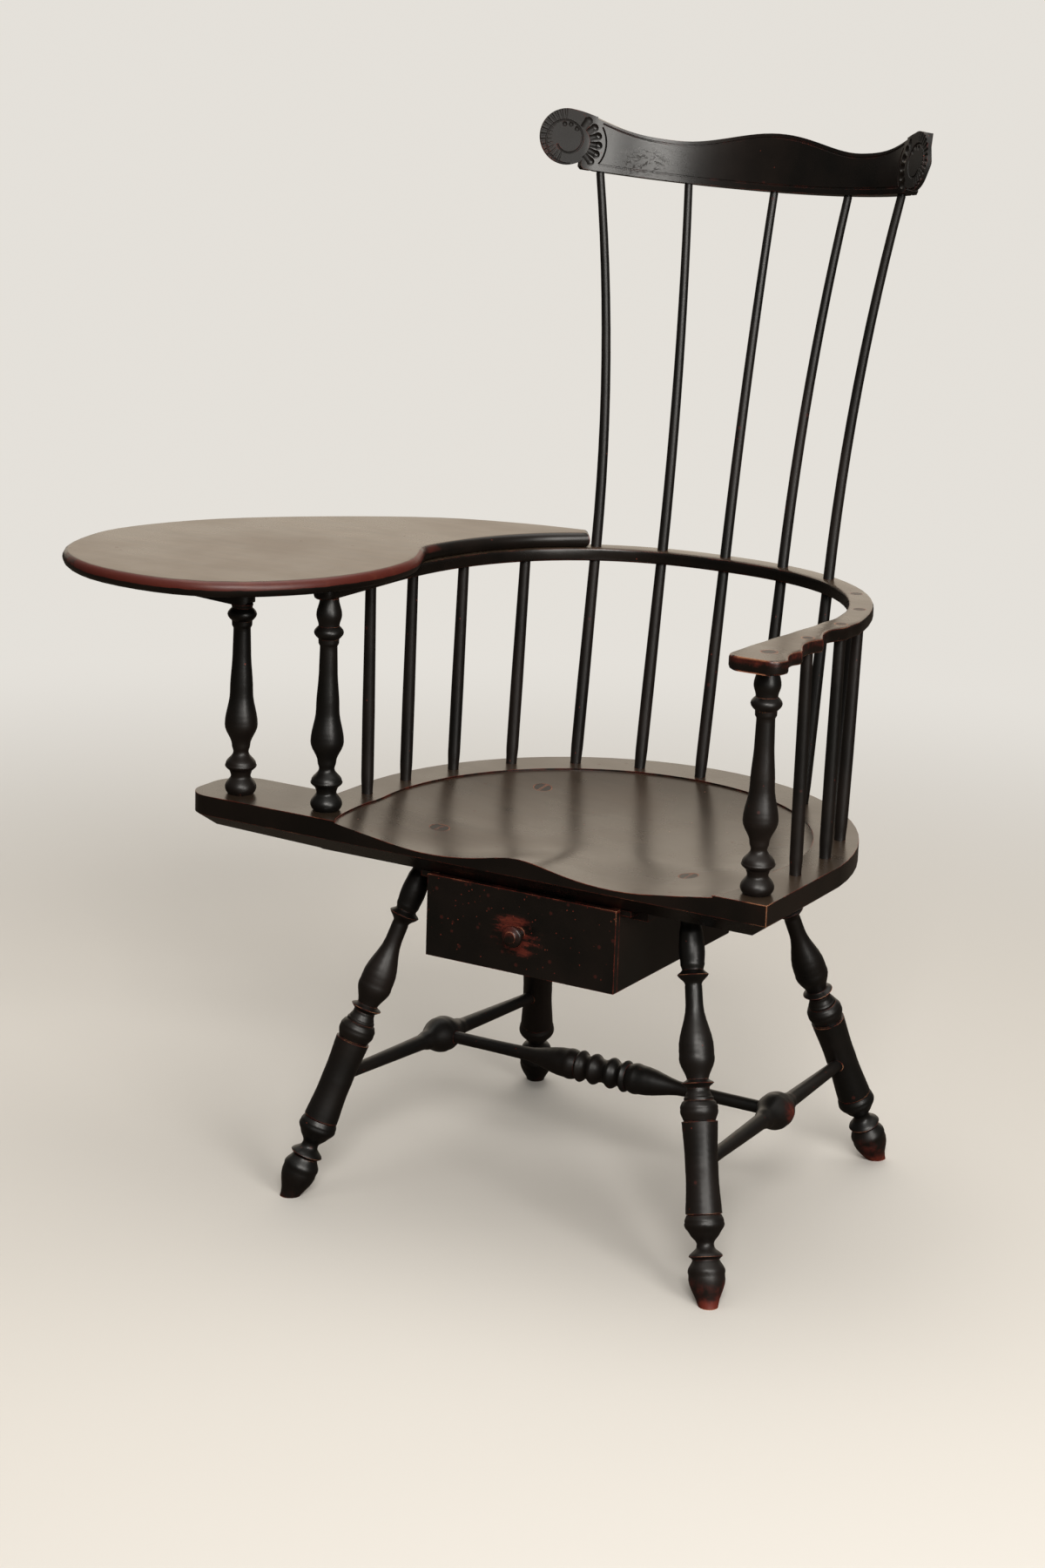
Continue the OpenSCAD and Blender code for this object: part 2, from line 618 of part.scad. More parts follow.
// Foot, ring, torus, cylinder, ball, ring, vase, ring and upper bulb, from the floor up
function leg_turning(side, rear) =
    let (cylinder_half = (leg_cylinder + (rear ? leg_rear_extra : 0)) / 2, r = leg_ball_r)
    fitted([
        [32, r - 1, 1.6], [14, 14.2, 1.9], [4.5, 17.7, -0.8], [10.5, 9.1, -0.6], [12, 15.6, -1.4],
        [1, 16.2, undef], [11, r + 0.4, 1.8], [7, 18.3, 0.6], [0.8, 16.8, undef], [0.6, 19, undef],
        [cylinder_half, 17.2, -0.6], [cylinder_half, 18.8, -0.5],
        [0.8, 16.4, undef], [1.6, 17.2, undef], [10.5, r - 0.4, 1], [7.5, 17.3, 0.8], [1.4, 15.4, undef],
        [2.4, 15.4, undef], [2, 14.1, 0], [7, 12, -0.4], [6.3, 16.9, -1.2], [4.6, 11.4, -0.9],
        [24.5, r - 1.6, 1.8], [4, r - 1.5, undef], [47, 9.2, 0.5], [19, 9, undef],
        [12, 16.5, -1.7], [6.2, 11.3, -0.9], [6.2, 12.6, 0.4], [13.6, 13.5, 0.2], [15.5, 12.4, 0.2],
        [11, leg_tenon_r, 0.2], [20, leg_tenon_r, undef]
    ], leg_at(side, rear, seat_bottom_z));

foot_sole_r = 10.4;
foot_spare = 10;
module leg_body(side, rear) {
    foot = [[foot_spare, foot_sole_r, undef]];
    tenon = [[seat_thk * 1.5, leg_tenon_r, undef]];
    stand(leg_foot(side, rear), leg_socket(side, rear)) translate([0, 0, -foot_spare])
        turned(concat(foot, leg_turning(side, rear), tenon), foot_sole_r - 1);
}

// Everything above the saddle's surface at a leg's tenon
module over_saddle(p) {
    step = 4;
    half = leg_tenon_r * 4;
    slope_x = atan2(saddle_z(p.x + step, p.y) - saddle_z(p.x - step, p.y), 2 * step);
    slope_y = atan2(saddle_z(p.x, p.y + step) - saddle_z(p.x, p.y - step), 2 * step);
    translate([p.x, p.y, saddle_z(p.x, p.y)]) rotate([slope_y, -slope_x, 0])
        translate([-half, -half, 0]) cube(2 * half);
}
function leg_exit(side, rear) =
    let (p = leg_socket(side, rear)) leg_point(side, rear, saddle_z(p.x, p.y));

module leg_hole(side, rear) {
    low = leg_point(side, rear, seat_bottom_z - seat_thk);
    stand(low, leg_socket(side, rear)) cylinder(r = leg_tenon_r + joint_gap, h = seat_thk * 4);
}

module leg_wedge(side, rear, grow = 0) {
    stand(leg_exit(side, rear), leg_exit(side, rear) + leg_socket(side, rear) - leg_foot(side, rear))
        wedge(leg_tenon_r - 0.5 + grow, grow);
}

module leg(side, rear) {
    color(black_worn) difference() {
        leg_body(side, rear);
        translate([-far, -far, -far]) cube([2 * far, 2 * far, far]);
        over_saddle(leg_exit(side, rear));
        leg_wedge(side, rear, joint_gap);
        stretcher_socket(side, rear);
    }
}

module leg_wedges() {
    color(bare_wood) for (side = [-1, 1], rear = [false, true]) difference() {
        leg_wedge(side, rear);
        over_saddle(leg_exit(side, rear));
    }
}

// ---- Stretchers ----

tenon_stop = 4;
function stretcher_end(side, rear) = leg_point(side, rear, rear ? stretcher_rear_z : stretcher_front_z);
function stretcher_middle_of(side) = (stretcher_end(side, false) + stretcher_end(side, true)) / 2;

stretcher_hole = 60;
module stretcher_socket(side, rear) {
    stand(stretcher_end(side, rear), stretcher_end(side, !rear))
        translate([0, 0, tenon_stop]) cylinder(r = stretcher_tenon_r + joint_gap, h = stretcher_hole);
}

module side_stretcher(side) {
    a = stretcher_end(side, false);
    b = stretcher_end(side, true);
    half = norm(b - a) / 2 - tenon_stop - joint_gap;
    r = stretcher_tenon_r;
    start = [[30, r, undef], [half - 72, r + 1.8, undef], [14, 11.2, 0], [28, stretcher_bulb_r, 1.5]];
    end = [[28, 11.2, 1.5], [14, r + 1.8, 0], [half - 72, r, undef], [30, r, undef]];
    color(black_worn) difference() {
        stand(a, b) translate([0, 0, tenon_stop + joint_gap]) turned(concat(start, end), r);
        middle_socket(side);
    }
}

module middle_socket(side) {
    stand(stretcher_middle_of(side), stretcher_middle_of(-side))
        translate([0, 0, tenon_stop]) cylinder(r = stretcher_tenon_r + joint_gap, h = stretcher_hole);
}

module stretcher_middle() {
    a = stretcher_middle_of(-1);
    b = stretcher_middle_of(1);
    half = norm(b - a) / 2 - tenon_stop - joint_gap;
    r = stretcher_tenon_r;
    v = stretcher_vase_r;
    left = [[60, r, undef], [half - 162, 7.6, undef], [56, v - 1, 0], [14, 14.5, 1.6],
        [8, 14.5, 3.4], [8, 14.5, -1.6], [10, 14.5, 3]];
    right = [[10, 14.5, 3], [8, 14.5, -1.6], [8, 14.5, 3.4], [14, v - 1, 1.6],
        [56, 7.6, 0], [half - 162, r, undef], [60, r, undef]];
    color(black_worn) stand(a, b) translate([0, 0, tenon_stop + joint_gap])
        turned(concat(left, [[12, 14.5, -1.6]], right), r);
}

// ---- Posts ----

post_right_place = [post_x, -post_y];
post_inner_place = [-post_x, -post_y];
post_outer_place = [-wing_reach + post_inset, -post_y];
post_places = [post_right_place, post_inner_place, post_outer_place];
cleat_bottom_z = arm_z - cleat_h;

// Two beads at the base, a vase, a long neck and a ring, from the deck up
post_stem = [
    [18, 11.2, 4.6], [6, 12, -0.6], [7, 17.4, 0], [2, 16.6, 0], [13, 8.4, 0], [7, 10, 0],
    [23, post_vase_r, 0], [36, 12.6, 0], [46, 10, 0], [23, 9.4, undef], [3, 11, undef], [5, 11.2, undef],
    [14, 11.2, 4.8]
];
post_bulb = [[12, 13.8, 0], [18, 10.3, 0]];
post_collar = [[4, 12, 0]];
post_foot_r = 14;
socket_spare = 0.5;

// A post with its top shoulder at one height and the end of its upper tenon at another
module post(place, head, shoulder_z, tenon_z) {
    color(black_worn) translate([place.x, place.y, deck_z - socket_depth + socket_spare]) turned(concat(
        [[socket_depth - socket_spare, post_tenon_r, undef], [0, post_foot_r, undef]],
        fitted(concat(post_stem, head), shoulder_z - deck_z),
        [[0, post_tenon_r, undef], [tenon_z - shoulder_z, post_tenon_r, undef]]), post_tenon_r);
}

module post_right() {
    difference() {
        post(post_right_place, post_bulb, arm_bottom_z, arm_z);
        post_wedge(post_right_place, joint_gap);
    }
}

module post_inner_left() {
    difference() {
        post(post_inner_place, post_bulb, arm_bottom_z, arm_z);
        post_wedge(post_inner_place, joint_gap);
    }
}

module post_outer_left() {
    post(post_outer_place, post_collar, cleat_bottom_z, cleat_bottom_z + cleat_socket - socket_spare);
}

module post_wedge(place, grow = 0) {
    translate([place.x, place.y, arm_z]) rotate([0, 0, 90]) wedge(post_tenon_r - 0.4 + grow, grow);
}

// ---- Arm bow ----

module arm_bow() {
    color(black_worn) difference() {
        skinned([for (d = arm_stations) bow_section(d)]);
        for (i = [-6:6]) arm_hole(i);
        for (p = [post_right_place, post_inner_place]) translate([p.x, p.y, arm_bottom_z - 1])
            cylinder(r = post_tenon_r + joint_gap, h = arm_thk + 2);
        for (k = [0:2]) translate(arm_screw_place(k)) screw(tablet_screw_len, joint_gap);
    }
}

module arm_hole(i) {
    a = spindle_arm(i);
    reach = 4 * arm_thk;
    stand(a - spindle_run(i) * reach, a) cylinder(r = spindle_arm_r + joint_gap, h = 2 * reach);
}

module arm_wedge(i, grow = 0) {
    a = spindle_arm(i);
    across = bow_out(sign(i) * arm_distance(abs(i)));
    stand(a, a + spindle_run(i)) rotate([0, 0, atan2(across.y, across.x) - 90])
        wedge(spindle_arm_r - 0.4 + grow, grow);
}

module arm_wedges() {
    color(bare_wood) below(arm_z) {
        for (side = [-1, 1], k = [3:6]) arm_wedge(side * k);
        for (p = [post_right_place, post_inner_place]) post_wedge(p);
    }
}

// ---- Spindles ----

module spindle_socket(i) {
    a = spindle_foot(i);
    run = spindle_run(i);
    stand(a - run * socket_depth, a) cylinder(r = spindle_tenon_r + joint_gap, h = 3 * socket_depth);
}

spindle_start = socket_depth - socket_spare;
// A spindle starts in its socket, swells above the deck and tapers to the arm
swell_from = 2;
swell_to = 20;
full_share = 0.3;
taper_over = 4;

module short_spindle(i) {
    a = spindle_foot(i);
    b = spindle_arm(i);
    d = norm(b - a);
    arm_stretch = arm_thk + taper_over;
    color(black_worn) difference() {
        stand(a - spindle_run(i) * spindle_start, b) turned([
            [spindle_start + swell_from, spindle_tenon_r, undef],
            [swell_to - swell_from, spindle_r, 0],
            [d * full_share, spindle_r, undef],
            [d * (1 - full_share) - swell_to - arm_stretch, spindle_arm_r, undef],
            [2 * arm_stretch, spindle_arm_r, undef]
        ], spindle_tenon_r);
        translate([-far, -far, arm_z]) cube(2 * far);
        arm_wedge(i, joint_gap);
    }
}

// A long spindle goes on through the arm and bends to meet the comb square on
long_over = 3;
bend_steps = 12;
function long_bend(i) =
    let (a = spindle_arm(i) + spindle_run(i) * long_over, c = spindle_comb(i) - comb_run(i) * comb_gap,
        reach = norm(c - a) / 3, p = a + spindle_run(i) * reach, q = c - comb_run(i) * reach)
    [for (k = [0:bend_steps]) let (t = k / bend_steps, u = 1 - t)
        [a * u * u * u + 3 * p * u * u * t + 3 * q * u * t * t + c * t * t * t,
            mix(spindle_arm_r, spindle_comb_r, t)]];
function long_stations(i) =
    let (a = spindle_foot(i), run = spindle_run(i), d = norm(spindle_arm(i) - a),
        c = spindle_comb(i) - comb_run(i) * comb_gap)
    concat(
        [for (e = [
            [-spindle_start, spindle_tenon_r], [swell_from, spindle_tenon_r],
            [mix(swell_from, swell_to, 0.4), mix(spindle_tenon_r, spindle_r, 0.5)], [swell_to, spindle_r],
            [swell_to + d * full_share, spindle_r], [d - arm_thk - taper_over, spindle_arm_r]
        ]) [a + run * e[0], e[1]]],
        long_bend(i),
        [[c + comb_run(i) * tenon_shoulder, comb_tenon_r], [c + comb_run(i) * comb_tenon_len, comb_tenon_r]]);

module long_spindle(i) {
    color(black_worn) difference() {
        swept(long_stations(i), 20);
        if (abs(i) == long_last) comb_peg(sign(i), joint_gap);
    }
}

comb_tenon_len = 24;
tenon_shoulder = 0.3;
// Distance below the comb at which a spindle's shoulder stops
comb_gap = 1;
comb_socket_spare = 0.3;
module comb_socket(i) {
    c = spindle_comb(i);
    run = comb_run(i);
    stand(c - run * comb_gap * 3, c)
        cylinder(r = comb_tenon_r + joint_gap, h = comb_tenon_len + 2 * comb_gap + comb_socket_spare);
}

// ---- Comb ----

module comb_frame() {
    translate([0, comb_back, comb_z]) rotate([-comb_lean, 0, 0]) children();
}

// Upright outline of the comb, with arc length turned into width across the bend
module comb_face(from, to, steps, across) {
    rotate([90, 0, 0]) translate([0, 0, -across]) linear_extrude(2 * across) polygon(concat(
        [[comb_plan(from).x, 0], [comb_plan(to).x, 0]],
        [for (k = [steps:-1:0]) let (s = mix(from, to, k / steps)) [comb_plan(s).x, comb_top(s)]]));
}

comb_clear = 50;
module comb_bend() {
    reach = 4 * comb_clear;
    edge = far * [sin(comb_end_angle), cos(comb_end_angle)];
    translate([0, -comb_bend_r, -comb_clear]) intersection() {
        difference() {
            cylinder(r = comb_bend_r + comb_thk / 2, h = reach, $fn = 120);
            translate([0, 0, -1]) cylinder(r = comb_bend_r - comb_thk / 2, h = reach + 2, $fn = 120);
        }
        linear_extrude(reach) polygon([[0, 0], [-edge.x, edge.y], edge]);
        translate([0, comb_bend_r, comb_clear]) comb_face(-comb_bent_half, comb_bent_half, 48, far);
    }
}

// Straight end of the comb with the disc of its ear, drawn for the left side. It starts
// at X = 0, and its front faces +Z.
ear_in = ear_at - comb_bent_half;
end_lap = 2;
ear_face = comb_thk / 2 + ear_relief;
// The ear's back slopes away to an edge this far in front of the comb's back
ear_edge = 11.5;
ear_back_r = 6;
// The ear is a little flatter on the side towards the comb's middle
ear_flat_r = 40;
ear_flat = 4;
module comb_ear() {
    tab = ear_in - tab_back;
    top = [for (k = [14:-1:0]) let (x = ear_in * k / 14) [-x, comb_top(comb_bent_half + x)]];
    translate([0, 0, -comb_thk / 2]) {
        linear_extrude(comb_thk) polygon(concat(
            [[end_lap, 0], [-tab, 0], [-tab - tab_corner, tab_corner], [-tab - tab_corner, comb_tab_h],
                [-ear_in, ear_h]],
            top, [[end_lap, comb_top(comb_bent_half)]]));
        translate([-ear_in, ear_h, 0]) {
            cylinder(r1 = ear_back_r, r2 = ear_r, h = ear_edge);
            translate([0, 0, ear_edge]) cylinder(r = ear_r, h = comb_thk - ear_edge);
            intersection() {
                translate([0, 0, ear_edge]) cylinder(r = ear_r, h = comb_thk - ear_edge + ear_relief);
                translate([ear_r - ear_flat - ear_flat_r, 0, 0]) cylinder(r = ear_flat_r, h = 2 * comb_thk);
            }
        }
    }
}

// Carving cut into an ear, about the ear's centre
module ear_carving() {
    ear_flutes_cut();
    ear_petals_cut();
    for (a = [45, 80, 110]) rotate(a) translate([scroll_bead_at, 0, ear_face + 1]) sphere(scroll_bead_r);
    rotate([-90, 0, 0]) ear_scroll();
}

// Flutes fan out over the side of the ear that is away from the comb's middle
flute_from = 100;
flute_to = 255;
flute_start = 18;
module ear_flutes_cut() {
    for (k = [0:ear_flutes - 1]) rotate(mix(flute_from, flute_to, k / (ear_flutes - 1)))
        translate([flute_start, 0, ear_face + 0.7]) rotate([0, 88, 0])
            cylinder(r1 = 1, r2 = 2.6, h = ear_r - flute_start + 2);
}

// Petals fan out over the comb's face beside the ear
petal_centre = [8, -4.7];
petal_r = 6;
petal_from = 19;
petal_to = 29;
petal_step = 20;
petal_first = -40;
module ear_petals_cut() {
    fall = atan2(1, petal_to - petal_from);
    for (k = [0:ear_petals - 1]) translate(petal_centre) rotate(petal_first + petal_step * k) {
        translate([petal_from, 0, comb_thk / 2 + petal_r - 0.8]) rotate([0, 90 + fall, 0])
            cylinder(r = petal_r, h = petal_to - petal_from);
        translate([petal_to, 0, comb_thk / 2 + petal_r - 1.5]) sphere(petal_r + 0.5);
    }
}

// Scroll incised in the ear, as [angle, radius] pairs about a point below its centre
scroll_drop = 3;
scroll_bead_at = 14;
scroll_bead_r = 3;
scroll = [[-75, 29], [0, 26], [90, 21], [180, 16.5], [270, ear_boss_r + 1.3], [375, ear_boss_r]];
module ear_scroll() {
    spiral = [for (a = [scroll[0].x:15:360]) [a, line_at(scroll, a)]];
    ring = [for (k = [0:24]) [15 * k, ear_boss_r]];
    for (line = [spiral, ring])
        swept([
            for (e = line) [[e.y * cos(e.x), -ear_face - line_off, e.y * sin(e.x) - scroll_drop], line_r]
        ], 6);
}

// Incised lines that run along the comb's front and close in an arc beside each ear
line_top_in = 4.5;
line_low_in = 7;
line_arc = [11, -4.65];
line_arc_r = 35.4;
line_arc_low = -35;
line_arc_high = 36;
line_steps = 52;
module comb_lines() {
    arc_s = ear_at - line_arc.x;
    arc_h = ear_h + line_arc.y;
    top_half = arc_s - line_arc_r * cos(line_arc_high);
    low_half = arc_s - line_arc_r * cos(line_arc_low);
    tops = [
        for (k = [0:line_steps]) let (s = mix(-top_half, top_half, k / line_steps))
            [s, comb_top(s) - line_top_in]
    ];
    lows = [for (k = [0:line_steps]) [mix(-low_half, low_half, k / line_steps), line_low_in]];
    arcs = [
        for (side = [-1, 1]) [for (k = [0:8]) let (a = mix(line_arc_low, line_arc_high, k / 8))
            [side * (arc_s - line_arc_r * cos(a)), arc_h + line_arc_r * sin(a)]]
    ];
    for (line = concat([tops, lows], arcs)) swept([for (q = line) [comb_front(q.x, q.y), line_r]], 6);
}

// From the left ear's own frame to the comb's, and the same mirrored for the right ear
module at_end(side) {
    p = comb_plan(-comb_bent_half);
    scale_x(-side) translate([p.x, p.y, 0]) rotate([0, 0, comb_end_angle]) rotate([90, 0, 0]) children();
}

module comb() {
    color(black_worn) difference() {
        comb_frame() difference() {
            union() {
                comb_bend();
                for (side = [-1, 1]) at_end(side) comb_ear();
            }
            comb_lines();
            for (side = [-1, 1]) at_end(side) translate([-ear_in, ear_h, 0]) ear_carving();
        }
        for (i = [-long_last:long_last]) comb_socket(i);
        for (side = [-1, 1]) comb_peg(side, joint_gap);
    }
}

peg_up = 14;
peg_depth = 13;
module comb_peg(side, grow = 0) {
    c = spindle_comb(long_last * side) + comb_run(long_last * side) * peg_up;
    out = [side * sin(comb_end_angle), cos(comb_end_angle), 0];
    stand(c + out * comb_thk / 2, c) cylinder(r = peg_r + grow, h = peg_depth + grow);
}

module comb_pegs() {
    color(black_worn) for (side = [-1, 1]) comb_peg(side);
}

// ---- Tablet ----

// Tablet's outline moved in by a distance, at a height; a corner keeps its shape
function tablet_ring(inset, z) = let (n = len(tablet_loop)) [
    for (i = [0:n - 1])
        let (p = tablet_loop[i], u = unit(p - tablet_loop[(i + n - 1) % n]),
            v = unit(tablet_loop[(i + 1) % n] - p), m = right_of(u) + right_of(v),
            q = p - m * inset * 2 / (m * m))
            [q.x, q.y, z]
];

module tablet() {
    r = tablet_thk / 2;
    color(tablet_paint) difference() {
        skinned([for (k = [0:8]) let (a = -90 + 22.5 * k)
            tablet_ring(r * 0.8 * (1 - cos(a)), arm_z + r + r * sin(a))]);
        for (k = [0:2]) translate(arm_screw_place(k)) screw(tablet_screw_len, joint_gap);
        for (k = [0:1]) translate(cleat_screw_place(k)) screw(cleat_screw_len, joint_gap);
    }
}

// ---- Cleat under the tablet ----

cleat_socket = 22;
cleat_right = post_outer_place.x + cleat_w / 2;
cleat_corner_r = 9;
cleat_end_h = 28;
cleat_end_len = 34;
cleat_tip_h = 5;

// Side view of the cleat, from its right end
cleat_corner = [for (k = [0:6]) cleat_corner_r * [cos(15 * k) - 1, 1 - sin(15 * k)] - [0, cleat_h]];
cleat_curve = [
    for (k = [0:8]) let (a = 11.25 * k)
        [-cleat_len + cleat_end_len * cos(a), -cleat_tip_h - (cleat_end_h - cleat_tip_h) * cos(a)]
];
cleat_profile = concat([[0, 0]], cleat_corner, cleat_curve, [[-cleat_len, 0]]);

module tablet_cleat() {
    p = post_outer_place;
    color(black_worn) difference() {
        translate([cleat_right, p.y + cleat_w / 2, arm_z]) rotate([90, 0, 0]) linear_extrude(cleat_w)
            polygon(cleat_profile);
        difference() {
            translate([p.x, p.y - cleat_w, arm_z - 2 * cleat_h])
                cube([2 * cleat_w, 2 * cleat_w, 3 * cleat_h]);
            translate([p.x, p.y, arm_z - 2 * cleat_h - 1])
                cylinder(r = cleat_w / 2, h = 3 * cleat_h + 2);
        }
        translate([p.x, p.y, cleat_bottom_z - 1])
            cylinder(r = post_tenon_r + joint_gap, h = cleat_socket + 1);
        for (k = [0:1]) translate(cleat_screw_place(k)) {
            screw(cleat_screw_len, joint_gap);
            mirror([0, 0, 1]) cylinder(r = screw_head_r + joint_gap, h = cleat_h);
        }
    }
}

// ---- Screws ----

tablet_bite = tablet_thk * 0.55;
tablet_screw_len = arm_thk + tablet_bite;
function arm_screw_place(k) = let (p = bow_point(-arm_distance(3.5 + k))) [p.x, p.y, arm_bottom_z];
cleat_screw_grip = 12;
cleat_screw_len = cleat_screw_grip + tablet_bite;
function cleat_screw_place(k) =
    [cleat_right - cleat_len * (0.42 + 0.3 * k), post_outer_place.y, arm_z - cleat_screw_grip];

module tablet_screws() {
    color(screw_steel) {
        for (k = [0:2]) translate(arm_screw_place(k)) screw(tablet_screw_len);
        for (k = [0:1]) translate(cleat_screw_place(k)) screw(cleat_screw_len);
    }
}

// ---- Drawer and its runners ----

drawer_top_z = seat_bottom_z - 2;
drawer_bottom_z = drawer_top_z - drawer_h;
drawer_half = drawer_w / 2;
drawer_face_y = -drawer_front_y;
drawer_rear_y = drawer_face_y + drawer_len;
rebate = drawer_front_thk / 2;
groove_depth = drawer_side_thk / 2;
groove_z = drawer_bottom_z + 6;
groove_gap = 0.1;

// Block between two corners
module block(a, b) {
    translate(a) cube(b - a);
}

// The drawer's own frame has X = 0 at its middle
module at_drawer() {
    translate([-drawer_left, 0, 0]) children();
}

module drawer_front() {
    back_y = drawer_face_y + drawer_front_thk;
    color(black_worn) at_drawer() difference() {
        block([-drawer_half, drawer_face_y, drawer_bottom_z], [drawer_half, back_y, drawer_top_z]);
        for (side = [-1, 1])
            translate([side * drawer_half - drawer_side_thk, back_y - rebate, drawer_bottom_z - 1])
                cube([2 * drawer_side_thk, 2 * rebate, drawer_h + 2]);
        drawer_panel(groove_gap);
        drawer_knob_shape(joint_gap);
    }
}

module drawer_side(side) {
    inner = drawer_half - drawer_side_thk;
    color(bare_wood) at_drawer() difference() {
        scale_x(side) block(
            [inner, drawer_face_y + rebate, drawer_bottom_z],
            [drawer_half, drawer_rear_y, drawer_top_z]);
        drawer_panel(groove_gap);
    }
}

module scale_x(side) {
    if (side > 0) children();
    else mirror([1, 0, 0]) children();
}

// The bottom panel lies in grooves of the front and sides and passes under the back
module drawer_panel(gap = 0) {
    half = drawer_half - drawer_side_thk + groove_depth;
    block([-half - gap, drawer_face_y + rebate - gap, groove_z - gap],
        [half + gap, drawer_rear_y + (gap > 0 ? 1 : 0), groove_z + drawer_bottom_thk + gap]);
}

module drawer_bottom() {
    color(bare_wood) at_drawer() drawer_panel();
}

back_drop = 4;
module drawer_back() {
    inner = drawer_half - drawer_side_thk;
    color(bare_wood) at_drawer() block(
        [-inner, drawer_rear_y - drawer_side_thk, groove_z + drawer_bottom_thk + groove_gap],
        [inner, drawer_rear_y, drawer_top_z - back_drop]);
}

rail_back = 8;
module drawer_rail(side) {
    color(black_worn) at_drawer() scale_x(side) block(
        [drawer_half, drawer_face_y + rail_back, drawer_top_z - rail_thk],
        [drawer_half + rail_w, drawer_rear_y, drawer_top_z]);
}

knob_tenon_r = 4;
module drawer_knob_shape(grow = 0) {
    translate([0, drawer_face_y + drawer_front_thk, (drawer_top_z + drawer_bottom_z) / 2]) rotate([90, 0, 0])
        cylinder(r = knob_tenon_r + grow, h = drawer_front_thk + (grow > 0 ? 1 : 0));
}

module drawer_knob() {
    color(black_worn) at_drawer() {
        drawer_knob_shape();
        translate([0, drawer_face_y, (drawer_top_z + drawer_bottom_z) / 2]) rotate([90, 0, 0]) turned([
            [2, 6.5, 0], [5, 5, 0], [6, knob_r, 0], [3, knob_r, 0.4], [4, knob_r * 0.55, 0], [1, 0.5, 0]
        ], 7);
    }
}

runner_top_z = seat_bottom_z;
ledge_top_z = drawer_top_z - rail_thk - slide_gap;
runner_bottom_z = ledge_top_z - runner_ledge;
runner_back = 26;
runner_front_y = drawer_face_y + runner_back;
runner_rear_y = 132;
runner_inner = drawer_half + 1;
runner_web_x = drawer_half + rail_w + slide_gap;

module runner(side) {
    color(black_worn) difference() {
        at_drawer() scale_x(side) {
            block([runner_web_x, runner_front_y, runner_bottom_z],
                [runner_web_x + runner_web, runner_rear_y, runner_top_z]);
            block([runner_inner, runner_front_y, runner_bottom_z],
                [runner_web_x + tiny, runner_rear_y, ledge_top_z]);
        }
        for (k = [0:2]) translate(runner_screw_place(side, k)) screw(runner_screw_len, joint_gap);
    }
}

runner_bite = 14;
runner_screw_len = runner_top_z - runner_bottom_z + runner_bite;
function runner_screw_place(side, k) = [-drawer_left + side * (runner_web_x + runner_web / 2),
    mix(runner_front_y, runner_rear_y, 0.12 + 0.38 * k), runner_bottom_z];

module runner_screws() {
    color(screw_steel) for (side = [-1, 1], k = [0:2]) translate(runner_screw_place(side, k))
        screw(runner_screw_len);
}

// ---- Nodes ----

// Moves the chair so that the origin lies under the middle of its bounding box
module placed() {
    translate(-origin) children();
}

placed() seat();
placed() leg(-1, false);  // leg_front_left
placed() leg(1, false);  // leg_front_right
placed() leg(-1, true);  // leg_rear_left
placed() leg(1, true);  // leg_rear_right
placed() leg_wedges();
placed() side_stretcher(-1);  // stretcher_left
placed() side_stretcher(1);  // stretcher_right
placed() stretcher_middle();
placed() post_outer_left();
placed() post_inner_left();
placed() post_right();
placed() arm_bow();
placed() arm_wedges();
placed() short_spindle(-6);  // short_spindle_left_1
placed() short_spindle(-5);  // short_spindle_left_2
placed() short_spindle(-4);  // short_spindle_left_3
placed() short_spindle(-3);  // short_spindle_left_4
placed() short_spindle(6);  // short_spindle_right_1
placed() short_spindle(5);  // short_spindle_right_2
placed() short_spindle(4);  // short_spindle_right_3
placed() short_spindle(3);  // short_spindle_right_4
placed() long_spindle(-2);  // long_spindle_1
placed() long_spindle(-1);  // long_spindle_2
placed() long_spindle(0);  // long_spindle_3
placed() long_spindle(1);  // long_spindle_4
placed() long_spindle(2);  // long_spindle_5
placed() comb();
placed() comb_pegs();
placed() tablet();
placed() tablet_cleat();
placed() tablet_screws();
placed() drawer_front();
placed() drawer_side(-1);  // drawer_side_left
placed() drawer_side(1);  // drawer_side_right
placed() drawer_back();
placed() drawer_bottom();
placed() drawer_rail(-1);  // drawer_rail_left
placed() drawer_rail(1);  // drawer_rail_right
placed() drawer_knob();
placed() runner(-1);  // runner_left
placed() runner(1);  // runner_right
placed() runner_screws();
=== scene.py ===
"""Looks of the writing arm Windsor chair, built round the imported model.

The chair is black milk paint over red, rubbed through along its edges. Every painted piece
gets that finish from paint(), with its own grain, places of wear and marks. Lengths are in
metres, and the scale of a noise is in cells to a metre.
"""

import math

import bmesh
import bpy
from mathutils import Matrix, Vector


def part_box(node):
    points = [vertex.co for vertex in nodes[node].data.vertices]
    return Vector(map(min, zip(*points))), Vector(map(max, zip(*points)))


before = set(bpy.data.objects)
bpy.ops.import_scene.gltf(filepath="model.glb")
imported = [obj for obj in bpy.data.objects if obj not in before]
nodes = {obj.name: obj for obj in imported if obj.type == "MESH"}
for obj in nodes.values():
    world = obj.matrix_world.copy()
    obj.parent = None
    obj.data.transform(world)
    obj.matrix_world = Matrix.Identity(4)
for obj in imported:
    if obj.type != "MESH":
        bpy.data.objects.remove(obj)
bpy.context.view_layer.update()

# ---- The chair's own frame: its origin lies on the floor under the seat's middle ----

SEAT_SIDE_REACH = 0.288
SEAT_FRONT_REACH = 0.145
seat_low, seat_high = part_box("seat")
CHAIR = Vector((seat_high.x - SEAT_SIDE_REACH, seat_low.y + SEAT_FRONT_REACH, 0))


def at(x, y, z=0.0):
    """Point of the row frame for a point given from the seat's middle."""
    return CHAIR + Vector((x, y, z))


def middle_of(name):
    low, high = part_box(name)
    return (low + high) / 2


# ---- Camera ----

